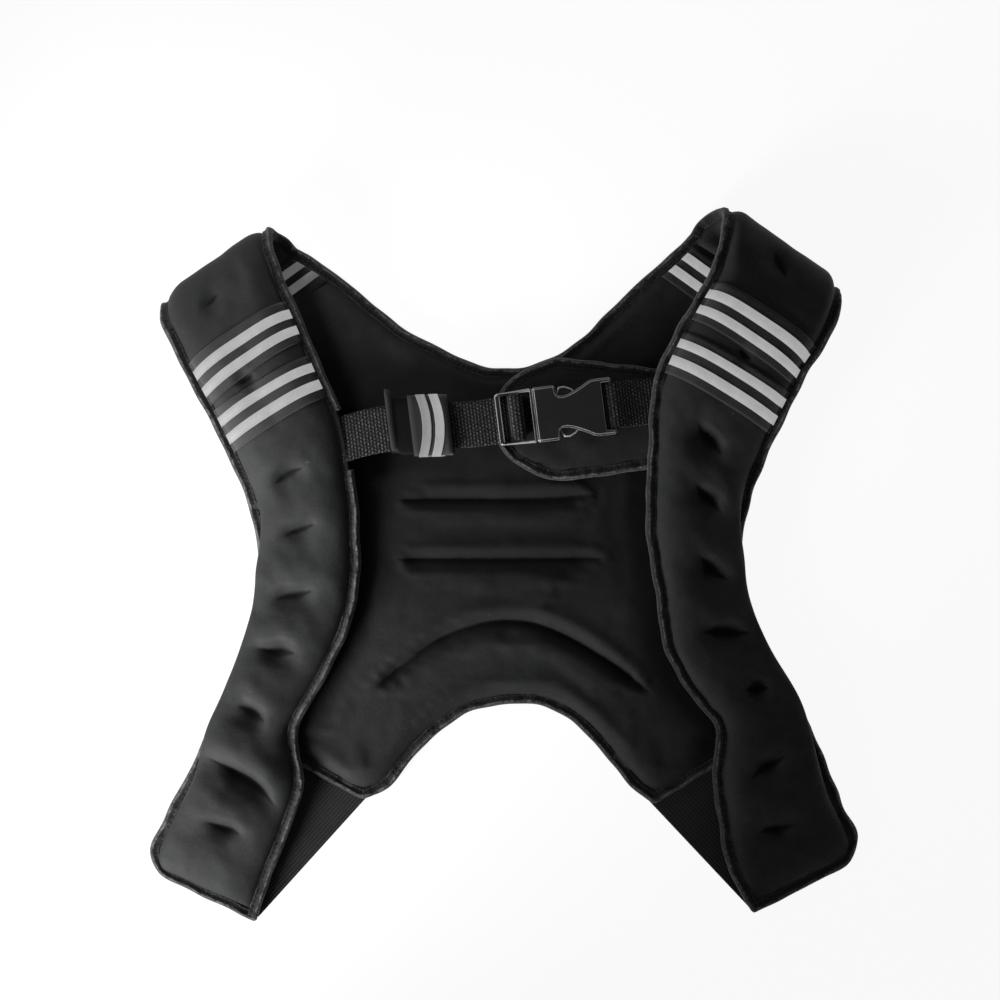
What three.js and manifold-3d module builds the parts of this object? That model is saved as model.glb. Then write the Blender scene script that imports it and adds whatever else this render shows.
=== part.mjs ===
// Weighted training vest lying on its back, with both front straps folded over on top of it.
// Millimetres. X runs across the vest, Y towards the neck and Z up from the surface it lies on.
import * as THREE from "three";
import { mergeVertices } from "three/addons/utils/BufferGeometryUtils.js";
import Module from "manifold-3d";

const { Vector3 } = THREE;
const { lerp, clamp, smoothstep, degToRad } = THREE.MathUtils;

// Brings the middle of the vest's outline to the origin
const ORIGIN_SHIFT = { x: -0.15, y: 1 };

// Sizes that touching pieces share
const GAP = 0.4;
const SEWN_GAP = 0.9;
const BINDING_WIDTH = 6;
const BINDING_THICKNESS = 4.6;
const MITRE = 1.35;
const BINDING_STEP = 16;
const INSET = BINDING_WIDTH + SEWN_GAP;
const RIM = 4;
const ROLL = 22;

// Back panel
const BACK_RIM_LOW = 4;
const BACK_LOFT = 8.5;
const ARM_LOFT = 4.5;
const ARM_LOFT_ENDS = { low: 115, high: 175 };
const BACK_ROWS = { neck: 11, middle: 7, arch: 8 };
const BACK_COLUMNS = 7;
const BACK_START = 0.006;
const NECK_SHARE = 0.4;
const ARCH_SHARE = 2 / 3;
const ARMHOLE_LENGTH = 300;
const ARCH_LENGTH = 260;
const OUTLINE_SAMPLES = 60;
const SEAM_RADIUS = 6.5;
const SEAM_SIDES = 8;
const SEAM_STEPS = 3;

// Front straps
const STRAP_ROWS = 36;
const STRAP_COLUMNS = 8;
const CORNER_ROUND = 5.5;
const DENT_ACROSS = 6.5;
const DENT_DEPTH = 6.5;
const DENT_SIDES = { round: 6, down: 5 };
const ROW_NUDGE = 0.05;
const SHORT_ROW = 0.3;
const END_ROWS = 0.5;
const END_SPAN = 0.75;

// Reflective tape
const TAPE_WIDTH = 28;
const TAPE_THICKNESS = 1.2;
const STRIPE_WIDTH = 6;
const STRIPE_PLACE = 5.6;
const STRIPE_THICKNESS = 0.5;
const TAPE_DIP = 3;
const TAPE_STEP = 9;
const TAPE_LIFT = 0.7;
const STRIPE_LIFT = TAPE_LIFT + TAPE_THICKNESS + GAP;
const ARM_TAPE_ROWS = 6;

// Elastic side pieces
const ELASTIC_THICKNESS = 1.6;
const ELASTIC_LIFT = 0.3;

// Chest strap and buckle
const WEB_WIDTH = 29;
const WEB_THICKNESS = 1.6;
const BUCKLE_SPOT = { x: 19.4, y: 94.9, z: 29.5 };
const BUCKLE_TURN = degToRad(7.2);
const SOCKET_HEIGHT = 11;
const SOCKET_LENGTH = 50;
const FRAME_HEIGHT = 7.5;
const BAR_HEIGHT = 3.4;
const PRONG_HEIGHT = 5.2;
const CAVITY = { length: 31, width: 26.4, height: 6.8 };
const BAR_SPAN = 30.6;
const BAR_HALF = 1.9;
const SOCKET_SLOT = { from: 43.6, to: 47.1 };
const FRAME_SLOTS = [{ from: -20.8, to: -14.1 }, { from: -8.5, to: -1.6 }];
const FRAME_ENDS = { from: -25, to: -1.6 };
const PAST = 1;
const BUCKLE_BEVEL = { socket: 1.2, frame: 0.8, prong: 0.5 };

// Padded guard behind the buckle
const GUARD = { left: -8, right: 97, top: 132, bottom: 53.4, nose: 48, low: 17.3, loft: 0.6 };
const GUARD_END = { top: 125, bottom: 62 };
const GUARD_PAD_SHARES = [0.06, 0.14, 0.24, 0.36, 0.5, 0.65, 0.8, 1];
const GUARD_EDGE_SHARES = [1, 0.8, 0.65, 0.5, 0.4, 0.3, 0.2, 0.1];
const GUARD_COLUMNS = 4;

const table = (columns, rows) =>
  rows.map((row) => Object.fromEntries(columns.map((name, i) => [name, row[i]])));

// Outlines of the back panel, seen from above
const NECK_EDGE = table(["x", "y"], [
  [-133, 203], [-114, 189], [-91, 171.5], [-66, 152.5], [-37.5, 137.5], [-13, 127.3], [0, 125.8],
  [15, 127.5], [40.5, 138.2], [65, 158.5], [86.5, 179.5], [104, 194.5], [119.5, 212],
]);
const ARCH_EDGE = table(["x", "y"], [
  [-90, -151], [-72.5, -139.5], [-58.5, -118.5], [-40.5, -103], [-21.5, -92.5], [0, -88.5],
  [23, -90], [42, -99], [61, -117.5], [77.5, -138], [96, -154],
]);
const LEFT_ARMHOLE = table(["x", "y"], [
  [-205.5, 154.5], [-134.5, 85.5], [-117.5, 22], [-119.5, -9.5], [-131, -61.5], [-155, -115.5],
]);
const RIGHT_ARMHOLE = table(["x", "y"], [
  [200, 162.5], [132, 89], [117.5, 22], [119.5, -9.5], [131.5, -60], [157.5, -115.5],
]);

// Sewn lines across the back panel
const SEAMS = [
  table(["x", "y"], [[-66, 42], [0, 42], [58, 44]]),
  table(["x", "y"], [[-66, 4], [0, 4], [66, 4.5]]),
  table(["x", "y"], [[-78, -76], [-40.5, -47], [1, -35.5], [48, -50], [88, -78]]),
];

// Sections of each front strap, from its seam on the back, over the shoulder, to its lower end
const STRAP_COLUMN_NAMES = [
  "outerX", "outerY", "outerZ", "innerX", "innerY", "innerZ", "loft", "belly",
];
const LEFT_STRAP = table(STRAP_COLUMN_NAMES, [
  [-205.5, 154.5, 6, -133, 203, 6, 4, 4.5],
  [-210, 158, 6.2, -138.5, 209, 6.2, 4.5, 3.5],
  [-215, 161.5, 10.5, -144, 212, 10.5, 5.5, 2.5],
  [-217, 163, 20, -146.8, 213, 20, 6.5, 2.5],
  [-216.5, 153.5, 29, -145.5, 201.5, 29, 7.5, 3],
  [-207, 133.5, 33.5, -139.5, 184, 33.5, 9, 3],
  [-198, 115.5, 33, -126.5, 155, 34.5, 9.5, 3],
  [-188, 96.5, 30, -115, 127, 33.5, 10, 3.5],
  [-173.5, 66, 23, -101.5, 95.5, 31, 10, 4],
  [-162.5, 37.5, 15, -94.5, 57, 27.5, 10, 4],
  [-157, 5.5, 10, -91, 16, 23.5, 10, 4],
  [-159, -25.5, 8.5, -93.5, -24, 22, 10, 4],
  [-167.5, -55, 8, -105.5, -57, 21, 10, 4],
  [-179, -84, 8, -122, -87, 20, 10, 4],
  [-190.5, -108, 8, -131, -105, 19, 10, 4],
  [-202, -132.5, 8, -127.5, -139.5, 16, 10, 4],
  [-216.3, -159, 7, -137, -169.5, 12, 9, 3],
  [-227, -184.5, 6, -150.3, -203.5, 8.5, 7, 2],
  [-222, -198.5, 5.5, -158.9, -228.8, 6, 5, 1],
]);
const RIGHT_STRAP = table(STRAP_COLUMN_NAMES, [
  [200, 162.5, 6, 119.5, 212, 6, 4, 4.5],
  [204.5, 166.5, 6.2, 124.5, 220, 6.2, 4.5, 3.5],
  [209, 170, 10.5, 130.5, 224.5, 10.5, 5.5, 2.5],
  [211.5, 172, 20, 138, 225.5, 20, 6.5, 2.5],
  [213.5, 164.5, 29, 137, 211.5, 29, 7.5, 3],
  [204.5, 142, 33.5, 130, 187, 33.5, 9, 3],
  [192, 123, 33, 117, 164, 34.5, 9.5, 3],
  [183.5, 105, 30, 105, 143, 33.5, 10, 3.5],
  [171, 78.5, 23, 94, 116, 31, 10, 4],
  [159, 47.5, 15, 91, 73, 28.5, 10, 4],
  [152, 12.5, 10, 90, 22, 24, 10, 4],
  [155, -22, 8.5, 96.5, -20, 22, 10, 4],
  [168, -52.5, 9, 101.5, -52.5, 22, 10, 4],
  [182, -75.5, 8, 118, -82.5, 20, 10, 4],
  [193, -97, 8, 134, -103, 19, 10, 4],
  [204.5, -122, 8, 132.5, -133.5, 16.5, 10, 4],
  [216, -151, 7, 136.5, -162, 12.5, 9, 3],
  [227.3, -176.3, 6, 143.3, -194.5, 9, 7, 2],
  [222.2, -191.7, 5.5, 159.6, -223.7, 6, 5, 1],
]);

// Tack points that pull the straps' padding in, each with the turn and half length of its crease
const TACK_COLUMN_NAMES = ["x", "y", "turn", "reach"];
const LEFT_TACKS = table(TACK_COLUMN_NAMES, [
  [-163, 117.5, 30, 10], [-136, 60, 28, 12], [-128.5, 24.5, 22, 11], [-131, -17.5, 15, 12],
  [-142, -53.5, -4, 12], [-158.5, -93.5, -28, 10], [-162.5, -133, -33, 20], [-177.5, -166, -21, 10],
]);
const RIGHT_TACKS = table(TACK_COLUMN_NAMES, [
  [150.5, 134, -30, 10], [129.5, 82, -50, 12], [128.5, 45, -45, 12], [130.5, -1, -43, 12],
  [140, -42, 0, 14], [158.5, -78, 0, 10], [166.5, -126, 25, 12], [172.5, -166, 15, 11],
]);

// Where each tape crosses its strap, in rows of the strap's table, and the shoulder arms' tape
const TAPE_ROW = {
  left: { upper: 5.9, lower: 7.13, inner: 0.62 },
  right: { upper: 5.65, lower: 7.2, inner: 0.62 },
};
// How far the outer end of each strap's tape lies further down, in rows
const TAPE_LEAN = {
  left: { upper: 0.18, lower: 0.3 },
  right: { upper: 0.1, lower: 0.12 },
};
const WEB_GAP_ROWS = { from: 7.9, to: 8.9 };

// Side pieces: corners under the wing and under the strap's lower end
const LEFT_ELASTIC = table(["wingX", "wingY", "strapX", "strapY"], [
  [-151, -112, -223, -188], [-87, -148, -157.8, -226.3],
]);
const RIGHT_ELASTIC = table(["wingX", "wingY", "strapX", "strapY"], [
  [153.5, -112, 222.5, -181], [92.5, -151, 158.8, -221.5],
]);

// Routes of the chest webbing beside and through the buckle, in the buckle's own directions
const WEB_COLUMN_NAMES = ["along", "aside", "height"];
const LEFT_WEB = table(WEB_COLUMN_NAMES, [
  [-123.5, 0, 28.8], [-108, 2.5, 28.6], [-91, 3.5, 28], [-72, 2.5, 27.6], [-53, 0.5, 27.2],
  [-38, -0.5, 26.6], [-27, -0.5, 25.9], [-21.5, 0, 25.7], [-18.8, 0, 26.6], [-17.8, 0, 28.6],
  [-16.8, 0, 31], [-14, 0, 32.5], [-8.6, 0, 32.5], [-6.2, 0, 31.4], [-5.2, 0, 29],
  [-5.6, 0, 25.2], [-8, 0, 23.7], [-21, 0, 23.4], [-38, -0.5, 24.2], [-53, 0.5, 24.8],
  [-72, 2.5, 25.2],
]);
const RIGHT_WEB = table(WEB_COLUMN_NAMES, [
  [78, 0, 25.4], [73, 0, 26], [63, 0, 28], [55, 0, 31.4], [51.6, 0, 32.9], [48.3, 0, 33],
  [46.2, 0, 32.3], [45.3, 0, 30.6], [45.3, 0, 28.4], [46.2, 0, 26.7], [48.3, 0, 25.9],
  [53, 0, 25.4], [64, 0, 24.2], [76, 0, 23.2],
]);

// Keeper sleeve along the webbing: half width and half height of each ring
const SLEEVE_WALL = 1.2;
const SLEEVE_MIDDLE = { aside: 2.2, height: 26.4 };
const SLEEVE_RINGS = table(["along", "halfWidth", "halfHeight"], [
  [-94, 20.6, 5.6], [-92.5, 21.2, 6.2], [-90, 21.2, 6.2], [-88.5, 19.4, 5], [-53, 19.2, 4.6],
]);
const SLEEVE_SIDES = 12;
const SLEEVE_ROUND = 0.45;
const KEEPER_BODY = { halfWidth: 19.4, halfHeight: 4.9 };
const KEEPER_THICKNESS = 1;
const KEEPER_TAPE = { from: -80, to: -53 };
const KEEPER_STRIPES = [{ from: -76, to: -70 }, { from: -65, to: -59 }];

// Half outlines of the buckle's pieces, along the strap from the socket's mouth
const OUTLINE_COLUMN_NAMES = ["along", "aside"];
const SOCKET_MOUTH = table(OUTLINE_COLUMN_NAMES, [[0, 16.3], [1, 17.3], [13.4, 17.3], [14.5, 16.2]]);
const SOCKET_WAIST = table(OUTLINE_COLUMN_NAMES, [[15.2, 11.5], [17, 8], [25, 11], [36, 17.4]]);
const SOCKET_WAIST_STEPS = 6;
const SOCKET_REAR = table(OUTLINE_COLUMN_NAMES, [[39, 18], [49, 18], [SOCKET_LENGTH, 17]]);
const FRAME_RAILS = table(OUTLINE_COLUMN_NAMES, [
  [-24, 15.2], [-23, 16.2], [-1.4, 17.3], [-0.4, 16.3],
]);
const PRONG_ARM = table(OUTLINE_COLUMN_NAMES, [
  [-1.2, 7.6], [-1.2, 12], [14.8, 12], [16, 14.6], [17, 16], [20.5, 16.2], [24.8, 14.2],
  [27, 12], [29, 9.4], [27.6, 7.4], [18, 8.4],
]);
const PRONG_GUIDE = table(OUTLINE_COLUMN_NAMES, [[-1.2, 3], [22, 3], [24, 1.6]]);

const wasm = await Module();
wasm.setup();

// Turns a closed geometry into a solid that can be joined or cut.
function solidOf(geometry) {
  const bare = new THREE.BufferGeometry();
  bare.setAttribute("position", geometry.getAttribute("position"));
  bare.setIndex(geometry.getIndex());
  const merged = mergeVertices(bare, 1e-3);
  const vertProperties = new Float32Array(merged.getAttribute("position").array);
  const triVerts = new Uint32Array(merged.getIndex().array);
  return new wasm.Manifold(new wasm.Mesh({ numProp: 3, vertProperties, triVerts }));
}

function geometryOf(solid) {
  const { vertProperties, triVerts } = solid.getMesh();
  const geometry = new THREE.BufferGeometry();
  geometry.setAttribute("position", new THREE.BufferAttribute(vertProperties, 3));
  geometry.setIndex([...triVerts]);
  geometry.computeVertexNormals();
  return geometry;
}

function cut(body, tools) {
  let solid = solidOf(body);
  for (const tool of tools) {
    solid = solid.subtract(solidOf(tool));
  }
  return geometryOf(solid);
}

// A geometry from points and triangles, turned so that every face looks outwards.
function closedBody(points, faces) {
  let volume = 0;
  for (const [i, j, k] of faces) {
    volume += points[i].dot(points[j].clone().cross(points[k]));
  }
  const facing = volume < 0 ? faces.map(([i, j, k]) => [i, k, j]) : faces;
  const geometry = new THREE.BufferGeometry().setFromPoints(points);
  geometry.setIndex(facing.flat());
  geometry.computeVertexNormals();
  return geometry;
}

// Joins grids of paired upper and lower points into one body, with a wall round every free edge.
function closedSheet(patches) {
  const pairs = [];
  const known = new Map();
  const cells = [];
  const idOf = (pair) => {
    const key = pair.upper.toArray().map((value) => value.toFixed(3)).join();
    if (!known.has(key)) {
      known.set(key, pairs.length);
      pairs.push(pair);
    }
    return known.get(key);
  };
  for (const patch of patches) {
    const ids = patch.map((row) => row.map(idOf));
    for (let i = 1; i < ids.length; i++) {
      for (let j = 1; j < ids[i].length; j++) {
        cells.push([ids[i - 1][j - 1], ids[i][j - 1], ids[i][j], ids[i - 1][j]]);
      }
    }
  }
  const low = pairs.length;
  const faces = [];
  const edges = new Map();
  for (const [a, b, c, d] of cells) {
    faces.push([a, b, c], [a, c, d], [low + a, low + c, low + b], [low + a, low + d, low + c]);
    for (const edge of [[a, b], [b, c], [c, d], [d, a]]) {
      edges.set(edge.join(), edge);
    }
  }
  for (const [from, to] of edges.values()) {
    if (!edges.has([to, from].join())) {
      faces.push([from, low + from, low + to], [from, low + to, to]);
    }
  }
  const points = [...pairs.map((pair) => pair.upper), ...pairs.map((pair) => pair.lower)];
  return closedBody(points, faces);
}

// Carries a closed section along rings of points, with a flat cap at each end.
function ringBody(rings) {
  const points = rings.flat();
  const sides = rings[0].length;
  const faces = [];
  for (let i = 1; i < rings.length; i++) {
    for (let j = 0; j < sides; j++) {
      const next = (j + 1) % sides;
      const [a, b] = [(i - 1) * sides + j, (i - 1) * sides + next];
      const [c, d] = [i * sides + next, i * sides + j];
      faces.push([a, b, c], [a, c, d]);
    }
  }
  const end = (rings.length - 1) * sides;
  for (let j = 2; j < sides; j++) {
    faces.push([0, j, j - 1], [end, end + j - 1, end + j]);
  }
  return closedBody(points, faces);
}

// A tube with an open bore: outer and inner rings, joined by a flat ring at each end.
function boredBody(outerRings, innerRings) {
  const sides = outerRings[0].length;
  const points = [...outerRings.flat(), ...innerRings.flat()];
  const bore = outerRings.length * sides;
  const last = (outerRings.length - 1) * sides;
  const faces = [];
  const quad = (a, b, c, d) => faces.push([a, b, c], [a, c, d]);
  for (let j = 0; j < sides; j++) {
    const next = (j + 1) % sides;
    for (let i = 0; i < last; i += sides) {
      const [a, b, c, d] = [i + j, i + next, i + sides + next, i + sides + j];
      quad(a, b, c, d);
      quad(bore + a, bore + d, bore + c, bore + b);
    }
    quad(bore + j, bore + next, next, j);
    quad(last + j, last + next, bore + last + next, bore + last + j);
  }
  return closedBody(points, faces);
}

const curveThrough = (rows, [x, y, z]) =>
  new THREE.CatmullRomCurve3(rows.map((row) => new Vector3(row[x], row[y], row[z] ?? 0)));

// Height of a padded edge: 0 at the edge, rounding off to 1 at the full roll.
const pillow = (distance) => Math.sqrt(1 - (1 - clamp(distance / ROLL, 0, 1)) ** 2);

// A row of points along a curve, moved sideways to its left by a distance.
function besideCurve(curve, share, distance) {
  const along = curve.getTangent(share);
  return curve.getPoint(share).add(new Vector3(-along.y, along.x, 0).setLength(distance));
}

// Back panel: a left and a right half, each from the armhole to the neck, the middle and the arch
const neckEdge = curveThrough(NECK_EDGE, ["x", "y"]);
const archEdge = curveThrough(ARCH_EDGE, ["x", "y"]);
const armholes = { left: LEFT_ARMHOLE, right: RIGHT_ARMHOLE };
const wingShare = 1 - INSET / ARMHOLE_LENGTH;

function backEdges(side, inset) {
  const turn = side === "left" ? 1 : -1;
  const armhole = curveThrough(armholes[side], ["x", "y"]);
  const sideOf = (share) => (side === "left" ? share : 1 - share);
  const neck = (share) => besideCurve(neckEdge, sideOf((share / NECK_SHARE) * 0.5), -inset);
  const arch = (share) =>
    besideCurve(archEdge, sideOf((0.5 * (1 - share)) / (1 - ARCH_SHARE)), inset);
  const outer = (share) => besideCurve(armhole, share, turn * inset);
  const inner = (share) => {
    if (share <= NECK_SHARE) return neck(share);
    if (share >= ARCH_SHARE) return arch(share);
    const part = (share - NECK_SHARE) / (ARCH_SHARE - NECK_SHARE);
    return neck(NECK_SHARE).setX(0).lerp(arch(ARCH_SHARE).setX(0), part);
  };
  return { outer, inner };
}

function backOutline() {
  const points = [];
  for (const side of ["left", "right"]) {
    const { outer, inner } = backEdges(side, INSET);
    for (let i = 0; i <= OUTLINE_SAMPLES; i++) {
      const share = (i / OUTLINE_SAMPLES) * wingShare;
      points.push(outer(share));
      if (share <= NECK_SHARE || share >= ARCH_SHARE) points.push(inner(share));
      points.push(outer(wingShare).lerp(inner(wingShare), i / OUTLINE_SAMPLES));
    }
  }
  return points;
}

const outline = backOutline();

function backSpot(place) {
  const edge = Math.min(...outline.map((point) => point.distanceTo(place)));
  const { low, high } = ARM_LOFT_ENDS;
  const loft = lerp(BACK_LOFT, ARM_LOFT, smoothstep(place.y, low, high));
  const upper = place.clone().setZ(BACK_RIM_LOW + RIM + loft * pillow(edge));
  const lower = place.clone().setZ(BACK_RIM_LOW * (1 - pillow(edge)));
  return { upper, lower };
}

// Rows of the back panel, with one on each end of its middle line.
function backShares() {
  const { neck, middle, arch } = BACK_ROWS;
  const spread = (from, to, count) =>
    Array.from({ length: count }, (_, i) => lerp(from, to, i / count));
  return [
    ...spread(BACK_START, NECK_SHARE, neck),
    ...spread(NECK_SHARE, ARCH_SHARE, middle),
    ...spread(ARCH_SHARE, wingShare, arch),
    wingShare,
  ];
}

function backHalf(side) {
  const { outer, inner } = backEdges(side, INSET);
  const grid = [];
  for (const share of backShares()) {
    const row = [];
    for (let j = 0; j <= BACK_COLUMNS; j++) {
      const place = outer(share).lerp(inner(share), j / BACK_COLUMNS);
      if (j === BACK_COLUMNS && share >= NECK_SHARE && share <= ARCH_SHARE) place.setX(0);
      row.push(backSpot(place));
    }
    grid.push(side === "left" ? row : row.reverse());
  }
  return grid;
}

const backGrids = { left: backHalf("left"), right: backHalf("right") };

function seamGroove(rows) {
  const height = BACK_RIM_LOW + RIM + BACK_LOFT;
  const path = new THREE.CatmullRomCurve3(rows.map(({ x, y }) => new Vector3(x, y, height)));
  const section = new THREE.Shape().absarc(0, 0, SEAM_RADIUS, 0, 2 * Math.PI);
  const steps = SEAM_STEPS * (rows.length - 1);
  const options = { extrudePath: path, steps, curveSegments: SEAM_SIDES };
  return new THREE.ExtrudeGeometry(section, options);
}

const backPanel = cut(closedSheet([backGrids.left, backGrids.right]), SEAMS.map(seamGroove));

// Cloth is flattened where it rests on the surface.
const onSurface = (point) => point.setZ(Math.max(point.z, 0));

// Front straps: a padded sheet between an outer and an inner edge in space
function strapSheet(rows, side) {
  const last = rows.length - 1;
  const outer = curveThrough(rows, ["outerX", "outerY", "outerZ"]);
  const inner = curveThrough(rows, ["innerX", "innerY", "innerZ"]);
  const padding = curveThrough(rows, ["loft", "belly"]);
  const turn = side === "left" ? 1 : -1;
  const middle = (row, w) => {
    const share = clamp(row / last, 0, 1);
    return outer.getPoint(share).lerp(inner.getPoint(share), (w + 1) / 2);
  };
  const width = (row) => middle(row, -1).distanceTo(middle(row, 1));
  const along = (row, w) =>
    middle(row + ROW_NUDGE, w).sub(middle(row - ROW_NUDGE, w)).normalize();
  const across = (row) => middle(row, 1).sub(middle(row, -1)).normalize();
  const normal = (row, w) => along(row, w).cross(across(row)).multiplyScalar(turn).normalize();
  const lastStep = (w) => middle(last, w).distanceTo(middle(last - 1, w));
  const lowEnd = (w, inset) => last - inset / lastStep(w);
  const sideEnd = (row, inset) => 1 - (2 * inset) / width(row);
  const spot = (row, w) => {
    const sideRoom = ((sideEnd(row, INSET) - Math.abs(w)) * width(row)) / 2;
    const endRoom = (lowEnd(w, INSET) - row) * lastStep(w);
    const fill = pillow(sideRoom) * pillow(endRoom);
    const { x: loft, y: belly } = padding.getPoint(row / last);
    const place = middle(row, w);
    const up = normal(row, w);
    return {
      up,
      upper: onSurface(place.clone().addScaledVector(up, RIM / 2 + loft * fill)),
      lower: onSurface(place.clone().addScaledVector(up, -RIM / 2 - belly * fill)),
    };
  };
  const grid = [];
  for (let i = 0; i <= STRAP_ROWS; i++) {
    const cells = [];
    for (let j = 0; j <= STRAP_COLUMNS; j++) {
      const share = (2 * j) / STRAP_COLUMNS - 1;
      const row = (i / STRAP_ROWS) * lowEnd(share, INSET);
      const inset = INSET + CORNER_ROUND * smoothstep(row, last - 1, last);
      cells.push(spot(row, share * sideEnd(row, inset)));
    }
    grid.push(cells);
  }
  return { last, middle, along, across, normal, lowEnd, sideEnd, width, grid };
}

const straps = {
  left: strapSheet(LEFT_STRAP, "left"),
  right: strapSheet(RIGHT_STRAP, "right"),
};
const tacks = { left: LEFT_TACKS, right: RIGHT_TACKS };

// The strap's grid point nearest to a place seen from above, on the layer that faces up.
function strapTop(strap, { x, y }) {
  const rank = ({ upper }) => Math.hypot(upper.x - x, upper.y - y);
  const front = strap.grid.flat().filter(({ up }) => up.z > 0.5);
  return front.reduce((best, cell) => (rank(cell) < rank(best) ? cell : best));
}

function tackDent(strap, tack) {
  const { upper } = strapTop(strap, tack);
  return new THREE.SphereGeometry(1, DENT_SIDES.round, DENT_SIDES.down)
    .rotateX(Math.PI / 2)
    .scale(tack.reach, DENT_ACROSS, DENT_DEPTH)
    .rotateZ(degToRad(tack.turn))
    .translate(tack.x, tack.y, upper.z);
}

const strapBody = (side) =>
  cut(closedSheet([straps[side].grid]), tacks[side].map((tack) => tackDent(straps[side], tack)));

// Edge binding: a folded tape carried along samples of an edge, each with its outward direction
const BINDING_SECTION = table(["out", "up"], [
  [-0.5, -0.42], [0.15, -0.5], [0.5, 0], [0.15, 0.5], [-0.5, 0.42],
]);

function bindingBody(samples) {
  const rings = samples.map(({ centre, out }, i) => {
    const before = samples[Math.max(i - 1, 0)].centre;
    const after = samples[Math.min(i + 1, samples.length - 1)].centre;
    const up = out.clone().cross(after.clone().sub(before)).normalize();
    return BINDING_SECTION.map((corner) =>
      centre
        .clone()
        .addScaledVector(out, corner.out * BINDING_WIDTH)
        .addScaledVector(up, corner.up * BINDING_THICKNESS),
    );
  });
  return ringBody(rings);
}

// Samples from one share to another, about a binding step apart.
function edgeSamples(from, to, sample) {
  const length = sample(from).centre.distanceTo(sample((from + to) / 2).centre) * 2;
  const count = Math.max(2, Math.round(length / BINDING_STEP));
  const list = [];
  for (let i = 0; i <= count; i++) {
    list.push(sample(lerp(from, to, i / count)));
  }
  return list;
}

// A mitred corner between two runs of samples.
function corner(centre, before, after) {
  return { centre, out: before.clone().add(after).setLength(MITRE) };
}

const HALF_BINDING = BINDING_WIDTH / 2;
const flat = (point) => point.setZ(BACK_RIM_LOW + RIM / 2);

function backSample(edge, share, toEdge) {
  const outlinePoint = edge(0)(share);
  const out = outlinePoint.clone().sub(edge(1)(share)).normalize();
  return { centre: flat(outlinePoint.addScaledVector(out, -toEdge)), out };
}

function neckBinding() {
  const sample = (share) => {
    const centre = besideCurve(neckEdge, share, -HALF_BINDING);
    const out = neckEdge.getPoint(share).sub(centre).normalize();
    return { centre: flat(centre), out };
  };
  return bindingBody(edgeSamples(BACK_START, 1 - BACK_START, sample));
}

function armholeRun(side) {
  const edge = (inset) => backEdges(side, inset).outer;
  return edgeSamples(2 * BACK_START, wingShare, (share) => backSample(edge, share, HALF_BINDING));
}

function archRun() {
  const sample = (share) => {
    const centre = besideCurve(archEdge, share, HALF_BINDING);
    const out = archEdge.getPoint(share).sub(centre).normalize();
    return { centre: flat(centre), out };
  };
  const first = INSET / ARCH_LENGTH;
  return edgeSamples(first, 1 - first, sample);
}

function wingRun(side) {
  const { outer, inner } = backEdges(side, HALF_BINDING);
  const ends = [outer(1), inner(1)];
  const down = outer(1).sub(outer(wingShare)).add(inner(1).sub(inner(wingShare))).normalize();
  const centres = ends.map((end) => flat(end.addScaledVector(down, -HALF_BINDING)));
  const sideways = centres[0].clone().sub(centres[1]).normalize();
  const middle = centres[0].clone().lerp(centres[1], 0.5);
  return [
    corner(centres[0], down, sideways),
    { centre: middle, out: down },
    corner(centres[1], down, sideways.clone().negate()),
  ];
}

function edgeBinding() {
  const samples = [
    ...armholeRun("left"),
    ...wingRun("left"),
    ...archRun(),
    ...wingRun("right").reverse(),
    ...armholeRun("right").reverse(),
  ];
  return bindingBody(samples);
}

// Samples along a strap's outer edge (w below 0) or inner edge (w above 0).
function strapSide(strap, sign) {
  return (row) => ({
    centre: strap.middle(row, sign * strap.sideEnd(row, HALF_BINDING)),
    out: strap.across(row).multiplyScalar(sign),
  });
}

function strapLowEnd(strap) {
  const down = (w) => strap.along(strap.last - 2 * ROW_NUDGE, w);
  const spot = (w) => strap.middle(strap.lowEnd(w, HALF_BINDING), w);
  const innerW = strap.sideEnd(strap.last, HALF_BINDING);
  const across = strap.across(strap.last);
  const straight = edgeSamples(END_SPAN, -END_SPAN, (w) => ({ centre: spot(w), out: down(w) }));
  return [
    corner(spot(innerW), down(1), across),
    ...straight,
    corner(spot(-innerW), down(-1), across.clone().negate()),
  ];
}

// Samples along one edge of a strap, at the rows of its own grid.
function strapEdgeRun(strap, sign, from, to) {
  const sample = strapSide(strap, sign);
  const step = strap.lowEnd(sign, INSET) / STRAP_ROWS;
  const rows = [from];
  const first = Math.ceil(from / step + SHORT_ROW);
  for (let row = first * step; row < to - SHORT_ROW * step; row += step) {
    rows.push(row);
  }
  return [...rows, to].map(sample);
}

const leftNeckBinding = () => bindingBody(strapEdgeRun(straps.left, 1, 0, WEB_GAP_ROWS.from));

function strapRun(side, firstInnerRow) {
  const strap = straps[side];
  const stop = strap.last - END_ROWS;
  const innerRun = strapEdgeRun(strap, 1, firstInnerRow, stop);
  const outerRun = strapEdgeRun(strap, -1, 0, stop).reverse();
  return bindingBody([...innerRun, ...strapLowEnd(strap), ...outerRun]);
}

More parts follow.
